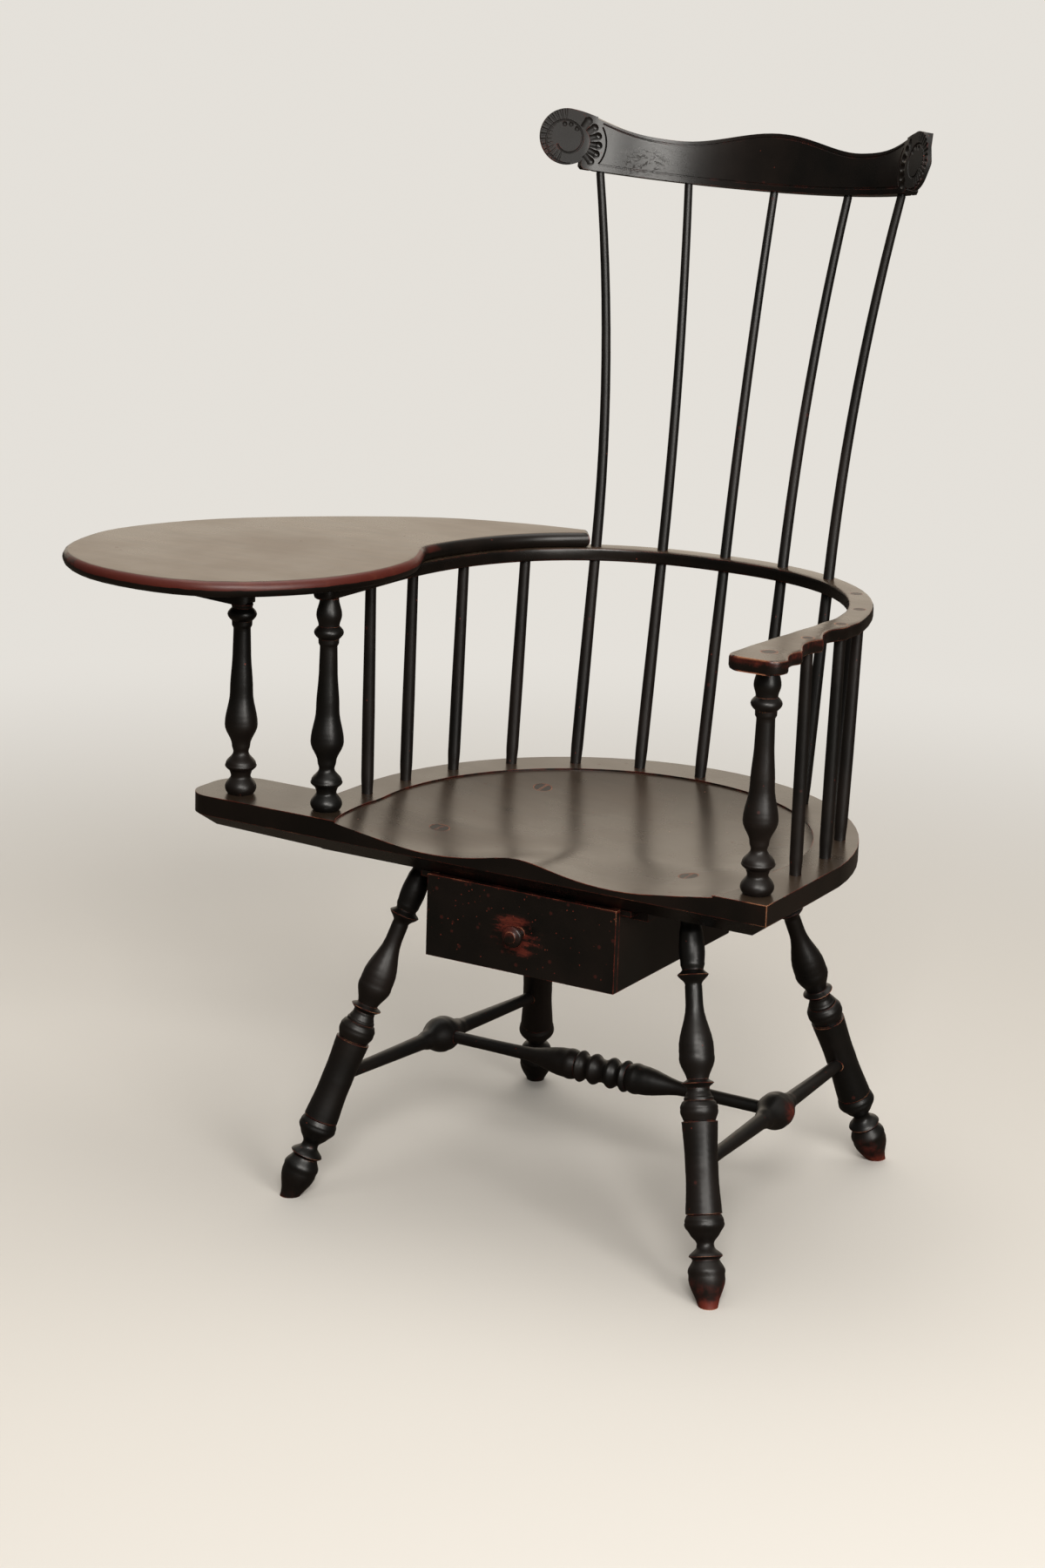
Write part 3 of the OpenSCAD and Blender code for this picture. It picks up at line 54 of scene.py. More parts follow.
CAMERA_PLACE = (1.62687, -2.92964, 1.36335)
CAMERA_AZIMUTH = math.radians(30.239)
CAMERA_DOWN = math.radians(14.934)
CAMERA_ROLL = math.radians(1.857)
CAMERA_REACH = 200
FOCAL_PIXELS = 3734.3
IMAGE_HEIGHT = 1800
SENSOR = 36.0


def add_camera():
    data = bpy.data.cameras.new("camera")
    data.sensor_width = SENSOR
    data.lens = FOCAL_PIXELS * SENSOR / IMAGE_HEIGHT
    data.clip_end = CAMERA_REACH
    camera = bpy.data.objects.new("camera", data)
    bpy.context.scene.collection.objects.link(camera)
    turn = (Matrix.Rotation(CAMERA_AZIMUTH, 4, "Z")
            @ Matrix.Rotation(math.pi / 2 - CAMERA_DOWN, 4, "X")
            @ Matrix.Rotation(CAMERA_ROLL, 4, "Z"))
    camera.matrix_world = Matrix.Translation(at(*CAMERA_PLACE)) @ turn
    bpy.context.scene.camera = camera


# ---- Node trees ----

# Share of a chip's radius that is worn through, and how softly the cells with a chip are chosen
CHIP_CORE = 0.4
CHIP_CHOICE = 0.02
# Cosines of a rounded normal to the true one on a flat and on a full edge
EDGE_TURN = (0.99, 0.82)
EDGE_SAMPLES = 8
# How open a point is in a hollow and on an outer edge, seen over a few times the edge's radius
HOLLOW_OPEN = (0.35, 0.75)
HOLLOW_REACH = 3
HOLLOW_SAMPLES = 6


class Tree:
    """A node tree with one short call for each kind of node that is used."""

    def __init__(self, tree):
        self.tree = tree
        self.tree.nodes.clear()

    def add(self, kind, inputs=None, **settings):
        node = self.tree.nodes.new(kind)
        for key, value in settings.items():
            setattr(node, key, value)
        for key, value in (inputs or {}).items():
            self.join(value, node.inputs[key])
        return node

    def join(self, value, socket):
        if isinstance(value, bpy.types.NodeSocket):
            self.tree.links.new(value, socket)
        else:
            socket.default_value = value

    def place(self):
        """Object coordinates: the row frame at rest."""
        return self.add("ShaderNodeTexCoord").outputs["Object"]

    def normal(self):
        return self.add("ShaderNodeNewGeometry").outputs["Normal"]

    def split(self, vector):
        return self.add("ShaderNodeSeparateXYZ", {"Vector": vector}).outputs

    def stretch(self, vector, scale):
        return self.add("ShaderNodeMapping", {"Vector": vector, "Scale": scale}).outputs["Vector"]

    def noise(self, vector, scale, detail=3.0, rough=0.55, warp=0.0):
        return self.add("ShaderNodeTexNoise", {
            "Vector": vector, "Scale": scale, "Detail": detail, "Roughness": rough, "Distortion": warp,
        }).outputs["Fac"]

    def math(self, operation, a, b=0.5):
        return self.add("ShaderNodeMath", {0: a, 1: b}, operation=operation).outputs["Value"]

    def plus(self, first, *others):
        for other in others:
            first = self.math("ADD", first, other)
        return first

    def times(self, first, *others):
        for other in others:
            first = self.math("MULTIPLY", first, other)
        return first

    def most(self, a, b):
        return self.math("MAXIMUM", a, b)

    def vector(self, operation, a, b):
        return self.add("ShaderNodeVectorMath", {0: a, 1: b}, operation=operation)

    def ramp(self, value, low, high, to_low=0.0, to_high=1.0):
        """Smooth step of a value from low to high."""
        return self.add("ShaderNodeMapRange", {
            "Value": value, "From Min": low, "From Max": high, "To Min": to_low, "To Max": to_high,
        }, interpolation_type="SMOOTHSTEP").outputs["Result"]

    def mix(self, share, a, b):
        """Colour between a and b."""
        node = self.add("ShaderNodeMix", data_type="RGBA")
        self.join(share, node.inputs["Factor"])
        self.join(a if isinstance(a, bpy.types.NodeSocket) else (*a, 1), node.inputs[6])
        self.join(b if isinstance(b, bpy.types.NodeSocket) else (*b, 1), node.inputs[7])
        return node.outputs[2]

    def blend(self, share, a, b):
        """Value between a and b."""
        return self.plus(self.times(a, self.math("SUBTRACT", 1.0, share)), self.times(b, share))

    def chips(self, place, spacing, radius, share):
        """Round chips, up to one in each cell of a size, in a share of the cells."""
        cell = self.add("ShaderNodeTexVoronoi", {"Vector": place, "Scale": 1 / spacing})
        chosen = self.ramp(self.split(cell.outputs["Color"])[0], share + CHIP_CHOICE, share)
        spot = self.ramp(cell.outputs["Distance"], radius / spacing, CHIP_CORE * radius / spacing)
        return self.times(spot, chosen)

    def near(self, place, point, full, gone, squash=(1, 1, 1)):
        """1 within one distance of a point, falling to 0 at another."""
        offset = self.vector("MULTIPLY", self.vector("SUBTRACT", place, point).outputs["Vector"], squash)
        distance = self.vector("DISTANCE", offset.outputs["Vector"], (0, 0, 0)).outputs["Value"]
        return self.ramp(distance, gone, full)

    def convex_edge(self, radius):
        """1 on sharp outer edges and 0 on flats and in hollows."""
        rounded = self.add("ShaderNodeBevel", {"Radius": radius}, samples=EDGE_SAMPLES).outputs["Normal"]
        turned = self.ramp(self.vector("DOT_PRODUCT", rounded, self.normal()).outputs["Value"], *EDGE_TURN)
        hollow = self.add(
            "ShaderNodeAmbientOcclusion", {"Distance": radius * HOLLOW_REACH}, samples=HOLLOW_SAMPLES)
        return self.times(turned, self.ramp(hollow.outputs["AO"], *HOLLOW_OPEN))


def new_material(name):
    material = bpy.data.materials.new(name)
    material.use_nodes = True
    return material, Tree(material.node_tree)


# ---- Finishes. A coat is (colour, roughness, height), each a socket or a number ----

BLACK = (0.0026, 0.0023, 0.0019)
BROWN_BLACK = (0.0085, 0.0052, 0.0038)
# Brownish grey haze: partly wax and handling, partly painted sheen of the bright room
HAZE_AND_SHEEN = (0.088, 0.058, 0.037)
RED = (0.14, 0.019, 0.010)
DEEP_RED = (0.060, 0.0095, 0.0065)
ORANGE = (0.33, 0.095, 0.045)
BARE = (0.40, 0.24, 0.13)

# How far a texture is drawn out along each axis, less where the grain or the brush runs
UPRIGHT = (1, 1, 0.07)
ACROSS = (0.07, 1, 1)
FORWARD = (1, 0.07, 1)

BROAD_SCALE = 8.0
PATCH_SCALE = 42.0
FIBRE_SCALE = 85.0
HAIR_SCALE = 420.0

# Wear from which the red shows and is full, and the same for the bare wood
RED_SHOWS = (0.30, 0.62)
BARE_SHOWS = (0.86, 1.25)

# Chips: spacing and radius, and how deep they are worn
BIG_CHIP = (0.012, 0.0038)
BIG_CHIP_WEAR = 0.46
SMALL_CHIP = (0.0065, 0.0011)
SMALL_CHIP_WEAR = 0.85

PAINT_IOR = 1.46
PAINT_SPECULAR = 0.5
COAT_DEPTH = 0.00028


def paint(t, place, grain=UPRIGHT, edge=1.0, edge_radius=0.0022, rubbed=0.0, haze_and_sheen=0.0, roughness=0.34,
          brush=1.0, chips=0.0, most=0.80):
    """Black paint over red over bare wood. rubbed is how far it is worn on its faces, from 0
    to 1, and edge how far on its edges; haze_and_sheen is the share of a brownish haze on the
    black, partly wax and handling and partly painted sheen of the bright room that a face
    mirrors; brush is the depth of the brush marks; chips is the share of places with a small
    chip; most is the furthest that a face is worn, from which 0.6 is all red and 1 nearly bare."""
    broad = t.noise(place, BROAD_SCALE, 4.0)
    patch = t.noise(place, PATCH_SCALE, 5.0, 0.62, 0.5)
    fibre = t.noise(t.stretch(place, grain), FIBRE_SCALE, 5.0, 0.62)
    hair = t.noise(t.stretch(place, grain), HAIR_SCALE, 3.0, 0.6)

    uneven = t.plus(t.times(patch, 0.9), t.times(fibre, 0.35))
    edges = t.times(t.convex_edge(edge_radius), edge, t.ramp(uneven, 0.42, 0.80, 0.25, 1.15))
    faces = t.math("MINIMUM", t.times(rubbed, t.ramp(uneven, 0.40, 0.85, 0.55, 1.35)), most)
    wear = t.plus(edges, faces)
    if chips:
        wear = t.most(wear, t.times(t.chips(place, *BIG_CHIP, chips), BIG_CHIP_WEAR))
        wear = t.most(wear, t.times(t.chips(place, *SMALL_CHIP, chips), SMALL_CHIP_WEAR))
    red_share = t.ramp(wear, *RED_SHOWS)
    bare_share = t.ramp(wear, *BARE_SHOWS)

    black = t.mix(t.ramp(broad, 0.35, 0.70), BLACK, BROWN_BLACK)
    black = t.mix(t.ramp(wear, 0.05, 0.40, 0.0, 0.7), black, BROWN_BLACK)
    # Brownish haze on the black: partly wax and handling, partly painted sheen of the bright room
    if haze_and_sheen:
        black = t.mix(t.times(t.ramp(t.plus(broad, fibre), 0.6, 1.35, 0.55, 1.0), haze_and_sheen), black, HAZE_AND_SHEEN)
    bright_red = t.mix(t.ramp(fibre, 0.48, 0.75, 0.0, 0.4), RED, ORANGE)
    red = t.mix(t.ramp(wear, 0.42, 0.80), DEEP_RED, bright_red)
    colour = t.mix(red_share, black, t.mix(bare_share, red, t.mix(hair, ORANGE, BARE)))

    rough = t.plus(t.ramp(broad, 0.3, 0.75, roughness - 0.04, roughness + 0.05), t.times(red_share, 0.14))
    marks = t.plus(t.times(hair, 0.35 * brush), t.times(fibre, 0.9 * brush), t.times(patch, 0.5 * brush))
    height = t.plus(marks, t.times(red_share, -0.55), t.times(bare_share, -0.3))
    return colour, rough, height


PINE = (0.40, 0.26, 0.14)
PINE_RING = (0.25, 0.15, 0.08)
PINE_ROUGH = (0.5, 0.58)
RING_SCALE = 38.0
PORE_SCALE = 300.0


def wood(t, place):
    """Bare pine with its grain from front to back."""
    rings = t.noise(t.stretch(place, FORWARD), RING_SCALE, 6.0, 0.6, 0.6)
    pores = t.noise(t.stretch(place, FORWARD), PORE_SCALE, 2.0)
    colour = t.mix(t.ramp(rings, 0.3, 0.7), PINE, PINE_RING)
    colour = t.mix(t.ramp(pores, 0.55, 0.75, 0.0, 0.4), colour, PINE_RING)
    return colour, t.ramp(rings, 0.3, 0.7, *PINE_ROUGH), t.times(pores, -0.8)


def over(t, share, top, base):
    """One coat laid over a share of another."""
    return t.mix(share, base[0], top[0]), t.blend(share, base[1], top[1]), t.blend(share, base[2], top[2])


def output(t, coat, strength=0.30):
    colour, rough, height = coat
    bump = t.add("ShaderNodeBump", {"Height": height, "Distance": COAT_DEPTH, "Strength": strength})
    shader = t.add("ShaderNodeBsdfPrincipled", {
        "Base Color": colour, "Roughness": rough, "Normal": bump.outputs["Normal"],
        "IOR": PAINT_IOR, "Specular IOR Level": PAINT_SPECULAR,
    })
    t.add("ShaderNodeOutputMaterial", {"Surface": shader.outputs["BSDF"]})


# ---- Turned pieces ----

# Heights between which the wear of the feet grows, and where a leg's end shows in the saddle
FOOT_RUB = (0.052, 0.018)
FOOT_TIP_RUB = (0.014, 0.001)
LEG_END = (0.392, 0.398)
# Between the left feet and the right ones, in the row frame
FEET_X = (0.05, 0.20)

GOUGE_GRAIN = (0.15, 0.15, 1)
GOUGE_SCALE = 520.0
GOUGE_DEPTH = 0.5


def turned_output(t, place, coat):
    """A coat with the fine rings that the turner's gouge leaves round an upright piece."""
    colour, rough, relief = coat
    rings = t.times(t.noise(t.stretch(place, GOUGE_GRAIN), GOUGE_SCALE, 2.0), GOUGE_DEPTH)
    output(t, (colour, rough, t.plus(relief, rings)))


def leg_material():
    """Rubbed red towards the tips of the feet, where the paint meets the floor, most on the right."""
    material, t = new_material("leg_paint")
    place = t.place()
    x, _, height = t.split(place)
    tips = t.plus(t.ramp(height, *FOOT_RUB, 0.0, 0.44), t.ramp(height, *FOOT_TIP_RUB, 0.0, 0.26))
    tips = t.times(tips, t.ramp(x, *FEET_X, 0.55, 1.0))
    rubbed = t.plus(tips, t.ramp(height, *LEG_END, 0.0, 0.28))
    turned_output(t, place, paint(
        t, place, edge=1.3, edge_radius=0.0019, rubbed=rubbed, roughness=0.42, chips=0.03))
    return material


def post_material():
    material, t = new_material("post_paint")
    place = t.place()
    turned_output(t, place, paint(t, place, edge=1.2, edge_radius=0.0017, roughness=0.40, chips=0.03))
    return material


SPINDLE_GRAIN = (1, 1, 0.16)


def spindle_material():
    """Brushed along its length, with small light nicks."""
    material, t = new_material("spindle_paint")
    coat = paint(
        t, t.place(), SPINDLE_GRAIN, edge=0.3, edge_radius=0.0012, roughness=0.42, brush=1.5, chips=0.07)
    output(t, coat, strength=0.35)
    return material


BULB_RUB = (0.227, 0.060, 0.133)
BULB_RUB_REACH = (0.006, 0.024)


def stretcher_material():
    """Rubbed red on the bulb of the right stretcher."""
    material, t = new_material("stretcher_paint")
    place = t.place()
    rubbed = t.times(t.near(place, at(*BULB_RUB), *BULB_RUB_REACH), 0.50)
    output(t, paint(t, place, ACROSS, edge=0.9, edge_radius=0.0019, rubbed=rubbed, roughness=0.45, chips=0.06))
    return material


# ---- Seat ----

FRONT_CORNER = (0.281, -0.145, 0.412)
FRONT_CORNER_REACH = (0.004, 0.024)
FRONT_CORNER_SQUASH = (1, 1, 0.6)
LIP_FROM = 0.045
LIP_TO = 0.001


def seat_material():
    """Waxed and polished by use, with a thin worn line along its front edge, and a haze on its deck that is
    partly wax and partly painted sheen.
    """
    material, t = new_material("seat_paint")
    place = t.place()
    front = CHAIR.y - SEAT_FRONT_REACH
    lip = t.ramp(t.split(place)[1], front + LIP_FROM, front + LIP_TO, 0.0, 0.15)
    corner = t.near(place, at(*FRONT_CORNER), *FRONT_CORNER_REACH, FRONT_CORNER_SQUASH)
    # Faces that look up get the haze: partly wax, partly painted sheen of the bright room
    deck_haze_and_sheen = t.ramp(t.split(t.normal())[2], 0.75, 0.97)
    edge = t.plus(0.85, t.times(corner, 1.5))
    rubbed = t.plus(lip, t.times(corner, 0.12))
    coat = paint(
        t, place, ACROSS, edge=edge, edge_radius=0.0022, rubbed=rubbed, haze_and_sheen=t.times(deck_haze_and_sheen, 0.42),
        roughness=0.28, brush=0.8, chips=0.03)
    output(t, coat, strength=0.22)
    return material


# ---- Arm, comb and tablet ----

# The hand is the flared front end of the arm on the right. Its side is worn from one height up
HAND_Y = (0.11, -0.02)
HAND_X = (0.0, 0.1)
HAND_SIDE = (0.659, 0.669)


def arm_material():
    """Edges of the hand rubbed through to red."""
    material, t = new_material("arm_paint")
    place = t.place()
    x, y, z = t.split(place)
    up = t.split(t.normal())[2]
    hand = t.times(
        t.ramp(y, *(CHAIR.y + end for end in HAND_Y)), t.ramp(x, *(CHAIR.x + end for end in HAND_X)))
    side = t.times(hand, t.ramp(up, 0.9, 0.5), t.ramp(z, *HAND_SIDE, 0.05, 0.35))
    # The tops get a haze that is partly wax and partly painted sheen of the bright room
    output(t, paint(
        t, place, ACROSS, edge=t.blend(hand, 0.9, 1.7), edge_radius=0.0045,
        rubbed=t.plus(side, t.times(hand, 0.10)), haze_and_sheen=t.times(t.ramp(up, 0.8, 0.98), 0.6),
        roughness=0.27, brush=0.9, chips=0.03))
    return material


COMB_SCAR = (-0.150, 0.335, 1.098)
COMB_SCAR_REACH = (0.006, 0.040)
COMB_SCAR_SQUASH = (1, 1, 1.9)
SCAR_GRAIN = (0.3, 1, 1)
SCAR_SCALE = 260.0
EAR_BOSS = (-0.227, 0.262, 1.117)
EAR_BOSS_REACH = (0.008, 0.020)
EARS_FROM = 0.187
EARS_FADE = 0.012


def comb_material():
    """Crazed and pitted beside the left ear, reddish at the heart of that ear, and duller
    where it is carved."""
    material, t = new_material("comb_paint")
    place = t.place()
    boss = t.times(t.near(place, at(*EAR_BOSS), *EAR_BOSS_REACH), 0.26)
    colour, rough, relief = paint(
        t, place, ACROSS, edge=0.55, edge_radius=0.0016, rubbed=boss, roughness=0.28, brush=0.5, chips=0.03)
    scar = t.near(place, at(*COMB_SCAR), *COMB_SCAR_REACH, COMB_SCAR_SQUASH)
    cracks = t.ramp(t.noise(t.stretch(place, SCAR_GRAIN), SCAR_SCALE, 4.0, 0.7, 1.2), 0.54, 0.60)
    crazed = t.times(scar, cracks)
    colour = t.mix(t.times(crazed, 0.8), colour, BROWN_BLACK)
    x_out = t.math("ABSOLUTE", t.math("SUBTRACT", t.split(place)[0], CHAIR.x))
    carved = t.ramp(x_out, EARS_FROM, EARS_FROM + EARS_FADE, 0.0, 0.32)
    output(t, (colour, t.plus(rough, t.times(crazed, 0.30), carved), t.plus(relief, t.times(crazed, -1.5))))
    return material


# Places along the line from the tablet's back left to its front right, where the wear grows
TABLET_WEAR = (-0.36, -0.16)
SCRATCH_GRAIN = (0.12, 1, 1)
SCRATCH_SCALE = 130.0
WORN_SCALE = 5.0


def tablet_material():
    """Its round edge is rubbed red in front, and its top has a haze that is partly wax and partly painted
    sheen, and scratches.
    """
    material, t = new_material("tablet_paint")
    place = t.place()
    x, y, _ = t.split(place)
    up = t.split(t.normal())[2]
    round_edge = t.times(t.ramp(up, -0.20, 0.15), t.ramp(up, 0.998, 0.90))
    middle = CHAIR.x - CHAIR.y
    front = t.ramp(t.math("SUBTRACT", x, y), *(middle + end for end in TABLET_WEAR), 0.25, 1.15)
    # Top faces: real wear and scratches, and a haze that is partly painted sheen of the bright room
    top = t.ramp(up, 0.90, 0.995)
    worn_top = t.times(top, t.ramp(t.noise(place, WORN_SCALE, 5.0, 0.6), 0.52, 0.72, 0.0, 0.12))
    colour, rough, relief = paint(
        t, place, ACROSS, edge=0.5, edge_radius=0.0040, rubbed=t.plus(t.times(round_edge, front), worn_top),
        haze_and_sheen=t.times(top, 0.95), roughness=0.30, brush=0.9, chips=0.03, most=0.56)
    scratch = t.ramp(t.noise(t.stretch(place, SCRATCH_GRAIN), SCRATCH_SCALE, 2.0, 0.5, 2.0), 0.70, 0.74)
    colour = t.mix(t.times(scratch, top, 0.25), colour, HAZE_AND_SHEEN)
    output(t, (colour, rough, relief), strength=0.22)
    return material


def plain_paint_material(name, grain):
    """Paint on a piece that is handled little."""
    material, t = new_material(name)
    output(t, paint(t, t.place(), grain, edge=0.7, edge_radius=0.0020, chips=0.02))
    return material


def wedge_material():
    """End of a wedge, worn so that it shows as a thin reddish line in its tenon."""
    material, t = new_material("wedge_paint")
    output(t, paint(t, t.place(), edge=0.3, edge_radius=0.001, rubbed=0.34))
    return material


# ---- Drawer ----

HALO_OFFSET = Vector((-0.007, 0, -0.004))
HALO_REACH = (0.008, 0.034)
HALO_SQUASH = (0.62, 0.3, 1)
SMEAR_GRAIN = (0.22, 1, 1)
SMEAR_SCALE = 150.0
# Distances from the front's top and right edges between which the wear grows
TOP_RUB = (-0.0040, -0.0010)
SIDE_RUB = (-0.0020, -0.0004)


def drawer_front_material():
    """Rubbed by fingers round the knob and along the top edge, and spotted with chips."""
    material, t = new_material("drawer_front_paint")
    place = t.place()
    x, _, z = t.split(place)
    knob = middle_of("drawer_knob")
    low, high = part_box("drawer_front")
    halo = t.near(place, Vector((knob.x, low.y, knob.z)) + HALO_OFFSET, *HALO_REACH, HALO_SQUASH)
    smears = t.ramp(t.noise(t.stretch(place, SMEAR_GRAIN), SMEAR_SCALE, 4.0, 0.65), 0.32, 0.68, 0.25, 1.0)
    top = t.ramp(z, *(high.z + end for end in TOP_RUB), 0.0, 0.42)
    side = t.ramp(x, *(high.x + end for end in SIDE_RUB), 0.0, 0.28)
    output(t, paint(
        t, place, ACROSS, edge=0.75, edge_radius=0.0018, rubbed=t.plus(t.times(halo, smears), top, side),
        roughness=0.36, brush=1.2, chips=0.75, most=0.60))
    return material


def knob_material():
    material, t = new_material("knob_paint")
    output(t, paint(t, t.place(), ACROSS, edge=1.5, edge_radius=0.0026, rubbed=0.42, roughness=0.30))
    return material


def drawer_side_material(name, side):
    """Painted on its outer face and bare inside the drawer: side is -1 for the left one."""
    material, t = new_material(name)
    place = t.place()
    outward = t.times(t.split(t.normal())[0], side)
    painted = paint(t, place, FORWARD, edge=0.8, chips=0.04)
    output(t, over(t, t.ramp(outward, 0.3, 0.6), painted, wood(t, place)))
    return material


def bare_material():
    material, t = new_material("drawer_wood")
    output(t, wood(t, t.place()))
    return material


STEEL = (0.26, 0.25, 0.24)
SCRATCHED_STEEL = (0.40, 0.39, 0.37)
STEEL_ROUGH = (0.32, 0.5)
STEEL_SCRATCH_SCALE = 900.0


def steel_material():
    material, t = new_material("screw_steel")
    scratches = t.noise(t.place(), STEEL_SCRATCH_SCALE, 3.0)
    shader = t.add("ShaderNodeBsdfPrincipled", {
        "Base Color": t.mix(scratches, STEEL, SCRATCHED_STEEL), "Metallic": 1.0,
        "Roughness": t.ramp(scratches, 0.3, 0.7, *STEEL_ROUGH),
    })
    t.add("ShaderNodeOutputMaterial", {"Surface": shader.outputs["BSDF"]})
    return material


# ---- Modifiers of the CAD nodes: smooth shading, and the scrolls in the comb's ears ----

SMOOTH_ANGLE = math.radians(32)
WELD_GAP = 2e-5


def mesh_group(name):
    """Geometry nodes from a mesh to a mesh, still without an output, and their incoming mesh."""
    group = bpy.data.node_groups.new(name, "GeometryNodeTree")
    for direction in ("INPUT", "OUTPUT"):
        group.interface.new_socket("Geometry", in_out=direction, socket_type="NodeSocketGeometry")
    t = Tree(group)
    return t, t.add("NodeGroupInput").outputs["Geometry"]


def smoothing_group():
    """Geometry nodes that shade a mesh smooth, except over edges sharper than an angle."""
    t, mesh = mesh_group("smooth_by_angle")
    bare = t.add("GeometryNodeRemoveAttribute", {"Geometry": mesh, "Name": "custom_normal"})
    faces = t.add("GeometryNodeSetShadeSmooth", {
        "Geometry": bare.outputs["Geometry"], "Shade Smooth": True,
    }, domain="FACE")
    angle = t.add("GeometryNodeInputMeshEdgeAngle").outputs["Unsigned Angle"]
    soft = t.add(
        "FunctionNodeCompare", {"A": angle, "B": SMOOTH_ANGLE}, data_type="FLOAT", operation="LESS_THAN")
    edges = t.add("GeometryNodeSetShadeSmooth", {
        "Geometry": faces.outputs["Geometry"], "Shade Smooth": soft.outputs["Result"],
    }, domain="EDGE")
    t.add("NodeGroupOutput", {"Geometry": edges.outputs["Geometry"]})
    return t.tree


# The right ear's place from the seat's middle, its turn and the comb's lean, worked out from the CAD's
EAR_PLACE = (0.2114, 0.2772, 1.1273)
EAR_TURN = math.radians(44.04)
COMB_LEAN = math.radians(11)
SCROLL_DROP = 0.003
SCROLL_START = math.radians(75)
SCROLL_OUTER = 0.0275
SCROLL_INNER = 0.0125
SCROLL_TURNS = 1.2
SCROLL_POINTS = 40
SCROLL_LINE = 0.0013
SCROLL_LINE_SIDES = 8


def ear_scroll(t, side):
    """Rod bent to the scroll that is cut into the face of an ear: -1 is the left one."""
    line = t.add("GeometryNodeCurvePrimitiveCircle", {"Resolution": SCROLL_LINE_SIDES, "Radius": SCROLL_LINE})
    spiral = t.add("GeometryNodeCurveSpiral", {
        "Resolution": SCROLL_POINTS, "Rotations": SCROLL_TURNS, "Start Radius": SCROLL_OUTER,
        "End Radius": SCROLL_INNER, "Height": 0.0, "Reverse": side > 0,
    })
    rod = t.add("GeometryNodeCurveToMesh", {
        "Curve": spiral.outputs["Curve"], "Profile Curve": line.outputs["Curve"], "Fill Caps": True,
    })
    start = -SCROLL_START if side < 0 else math.pi + SCROLL_START
    turn = (Matrix.Rotation(-COMB_LEAN, 4, "X") @ Matrix.Rotation(-side * EAR_TURN, 4, "Z")
            @ Matrix.Rotation(math.pi / 2, 4, "X") @ Matrix.Rotation(start, 4, "Z"))
    place = at(side * EAR_PLACE[0], *EAR_PLACE[1:]) - SCROLL_DROP * Vector((0, math.sin(COMB_LEAN), 1))
    return t.add("GeometryNodeTransform", {
        "Geometry": rod.outputs["Mesh"], "Translation": place, "Rotation": turn.to_euler(),
    }).outputs["Geometry"]


def scroll_group():
    """Geometry nodes that cut a scroll into the face of each ear of the comb."""
    t, mesh = mesh_group("ear_scrolls")
    cut = t.add("GeometryNodeMeshBoolean", {"Mesh 1": mesh}, operation="DIFFERENCE", solver="EXACT")
    for side in (-1, 1):
        t.join(ear_scroll(t, side), cut.inputs["Mesh 2"])
    t.add("NodeGroupOutput", {"Geometry": cut.outputs["Mesh"]})
    return t.tree


def add_modifiers(obj, smoothing):
    weld = obj.modifiers.new("weld", "WELD")
    weld.merge_threshold = WELD_GAP
    if obj == nodes["comb"]:
        obj.modifiers.new("scrolls", "NODES").node_group = scroll_group()
    obj.modifiers.new("smooth", "NODES").node_group = smoothing
    weighted = obj.modifiers.new("weighted", "WEIGHTED_NORMAL")
    weighted.mode = "FACE_AREA"
    weighted.keep_sharp = True


def dress_cad():
    """Gives each CAD node its material, by its name or by how its name starts."""
    comb = comb_material()
    rails = plain_paint_material("rail_paint", FORWARD)
    wedges = wedge_material()
    bare = bare_material()
    screws = steel_material()
    spindle = spindle_material()
    by_name = {
        "seat": seat_material(),
        "arm_bow": arm_material(),
        "comb": comb,
        "comb_pegs": comb,
        "tablet": tablet_material(),
        "tablet_cleat": plain_paint_material("cleat_paint", ACROSS),
        "leg_wedges": wedges,
        "arm_wedges": wedges,
        "drawer_front": drawer_front_material(),
        "drawer_knob": knob_material(),
        "drawer_side_left": drawer_side_material("drawer_side_left_finish", -1),
        "drawer_side_right": drawer_side_material("drawer_side_right_finish", 1),
        "drawer_back": bare,
        "drawer_bottom": bare,
        "drawer_rail_left": rails,
        "drawer_rail_right": rails,
        "runner_left": rails,
        "runner_right": rails,
        "runner_screws": screws,
        "tablet_screws": screws,
    }
    by_start = {
        "leg_": leg_material(),
        "post_": post_material(),
        "stretcher_": stretcher_material(),
        "short_": spindle,
        "long_": spindle,
    }
    smoothing = smoothing_group()
    for name, obj in nodes.items():
        material = by_name.get(name) or next(m for start, m in by_start.items() if name.startswith(start))
        obj.data.materials.clear()
        obj.data.materials.append(material)
        add_modifiers(obj, smoothing)


# ---- Stage and light ----

FLOOR_REACH = 60.0
FLOOR_SIDES = 64
FLOOR_SEEN = (0.66, 0.635, 0.60)
FLOOR_MIRRORED = (0.080, 0.064, 0.050)
FLOOR_ROUGH = 0.8
FLOOR_SPECULAR = 0.15
BACKDROP = (0.78, 0.75, 0.70)
# Distances from the chair between which the floor turns into the backdrop
BACKDROP_FROM = 0.8
BACKDROP_TO = 2.6


def camera_ray(t):
    return t.add("ShaderNodeLightPath").outputs["Is Camera Ray"]


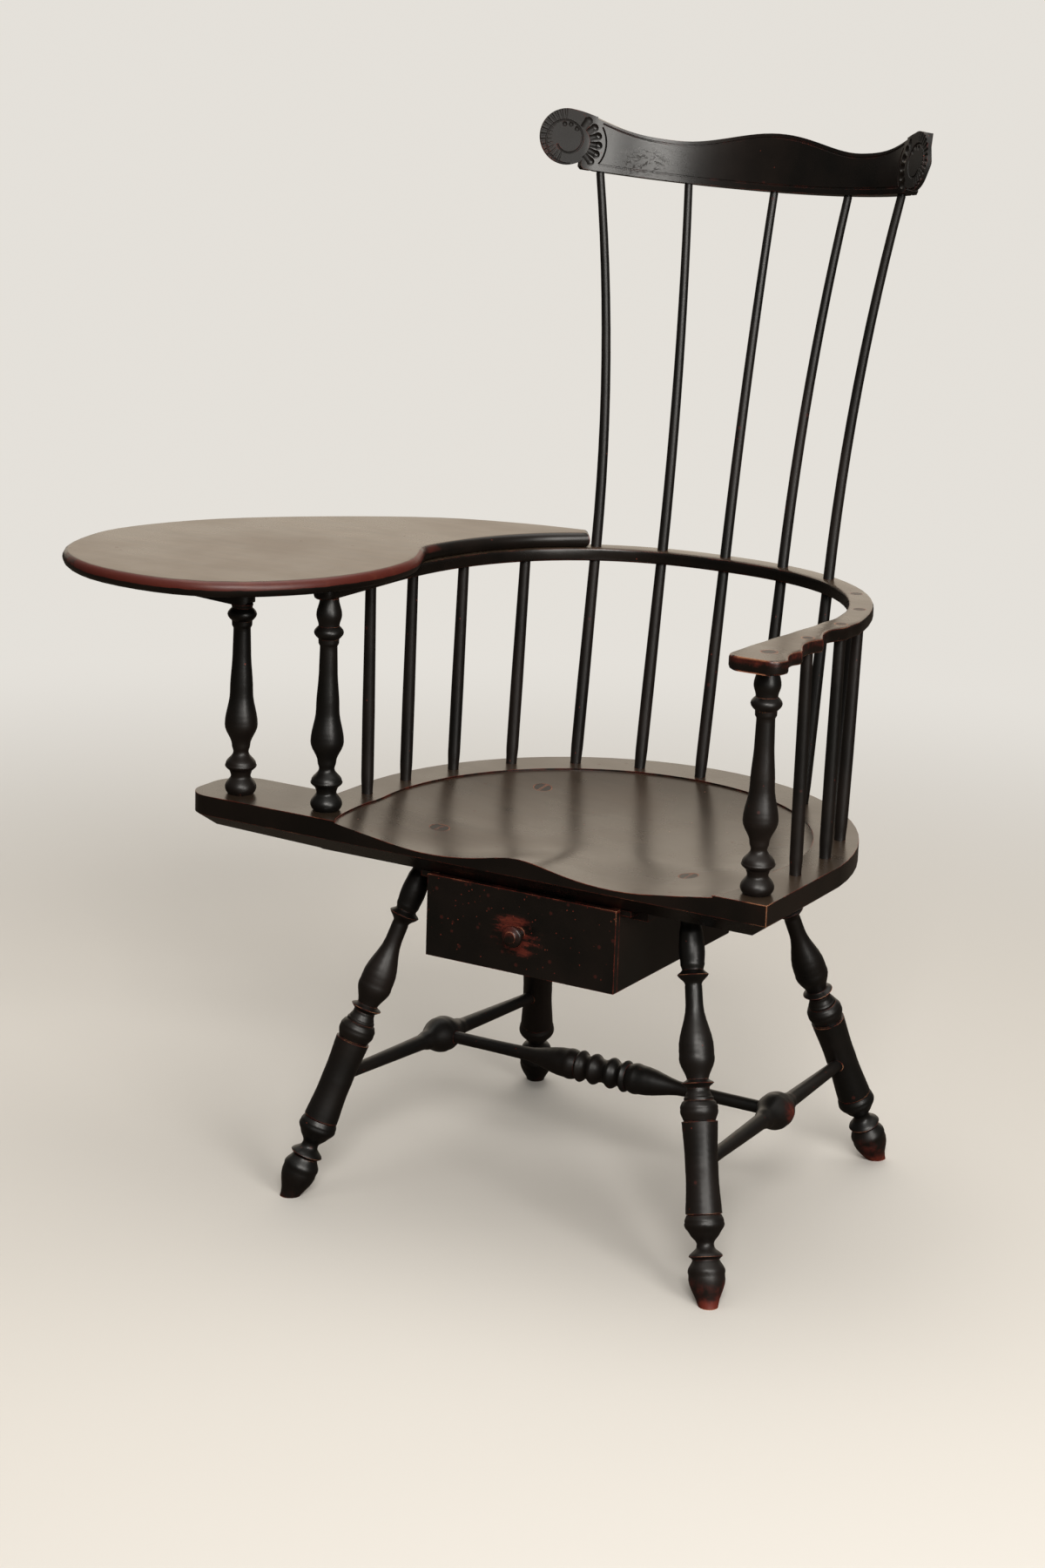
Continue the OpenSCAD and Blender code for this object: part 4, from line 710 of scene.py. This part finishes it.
def add_floor():
    """Pale floor that turns into an even backdrop away from the chair. Only the camera sees
    it so: to all other rays, it is a darker floor without the backdrop."""
    mesh = bpy.data.meshes.new("floor")
    bm = bmesh.new()
    bmesh.ops.create_circle(bm, cap_ends=True, segments=FLOOR_SIDES, radius=FLOOR_REACH)
    bm.to_mesh(mesh)
    bm.free()
    floor = bpy.data.objects.new("floor", mesh)
    bpy.context.scene.collection.objects.link(floor)
    material, t = new_material("floor")
    seen = camera_ray(t)
    near = t.add("ShaderNodeBsdfPrincipled", {
        "Base Color": t.mix(seen, FLOOR_MIRRORED, FLOOR_SEEN), "Roughness": FLOOR_ROUGH,
        "Specular IOR Level": FLOOR_SPECULAR,
    })
    far = t.add("ShaderNodeEmission", {"Color": (*BACKDROP, 1)})
    distance = t.vector("DISTANCE", t.place(), (0, 0, 0)).outputs["Value"]
    share = t.times(seen, t.ramp(distance, BACKDROP_FROM, BACKDROP_TO))
    both = t.add("ShaderNodeMixShader", {0: share, 1: near.outputs["BSDF"], 2: far.outputs["Emission"]})
    t.add("ShaderNodeOutputMaterial", {"Surface": both.outputs["Shader"]})
    mesh.materials.append(material)


BRIGHT_WALL = (1.18, 1.03, 0.84)
DARK_ROOM = (0.085, 0.08, 0.072)
CEILING = (0.30, 0.285, 0.26)
WALL_DIRECTION = Vector((-0.50, 0.84, 0.12)).normalized()
# Cosines between which the wall grows bright, and heights between which the ceiling starts
WALL_EDGE = (0.70, 0.95)
CEILING_EDGE = (0.35, 0.85)


def add_world():
    """A room with a bright wall behind the chair, darker in front of it. The camera sees an
    even backdrop instead."""
    world = bpy.data.worlds.new("room")
    world.use_nodes = True
    bpy.context.scene.world = world
    t = Tree(world.node_tree)
    direction = t.add("ShaderNodeTexCoord").outputs["Generated"]
    toward_wall = t.vector("DOT_PRODUCT", direction, WALL_DIRECTION).outputs["Value"]
    room = t.mix(t.ramp(toward_wall, *WALL_EDGE), DARK_ROOM, BRIGHT_WALL)
    room = t.mix(t.ramp(t.split(direction)[2], *CEILING_EDGE), room, CEILING)
    light = t.add("ShaderNodeBackground", {"Color": t.mix(camera_ray(t), room, BACKDROP)})
    t.add("ShaderNodeOutputWorld", {"Surface": light.outputs["Background"]})


# Name, place, the point that it is turned to, width and height, and power in watts
LAMPS = (
    ("window", (3.0, -1.7, 1.7), (0, 0, 0.6), (1.2, 1.9), 70),
    ("front", (1.9, -3.1, 2.9), (0, 0, 0.8), (1.4, 1.2), 118),
    ("ceiling", (-0.4, 0.4, 3.4), (0, 0, 0.4), (3.0, 3.0), 62),
)
LAMP_COLOUR = (1.0, 0.97, 0.92)


def add_lamp(name, place, aim, size, power):
    data = bpy.data.lights.new(name, "AREA")
    data.shape = "RECTANGLE"
    data.size, data.size_y = size
    data.energy = power
    data.color = LAMP_COLOUR
    lamp = bpy.data.objects.new(name, data)
    bpy.context.scene.collection.objects.link(lamp)
    lamp.location = at(*place)
    lamp.rotation_euler = (at(*aim) - at(*place)).to_track_quat("-Z", "Y").to_euler()


# ---- The whole scene ----

add_camera()
dress_cad()
add_floor()
add_world()
for lamp in LAMPS:
    add_lamp(*lamp)
bpy.context.scene.view_settings.view_transform = "Standard"
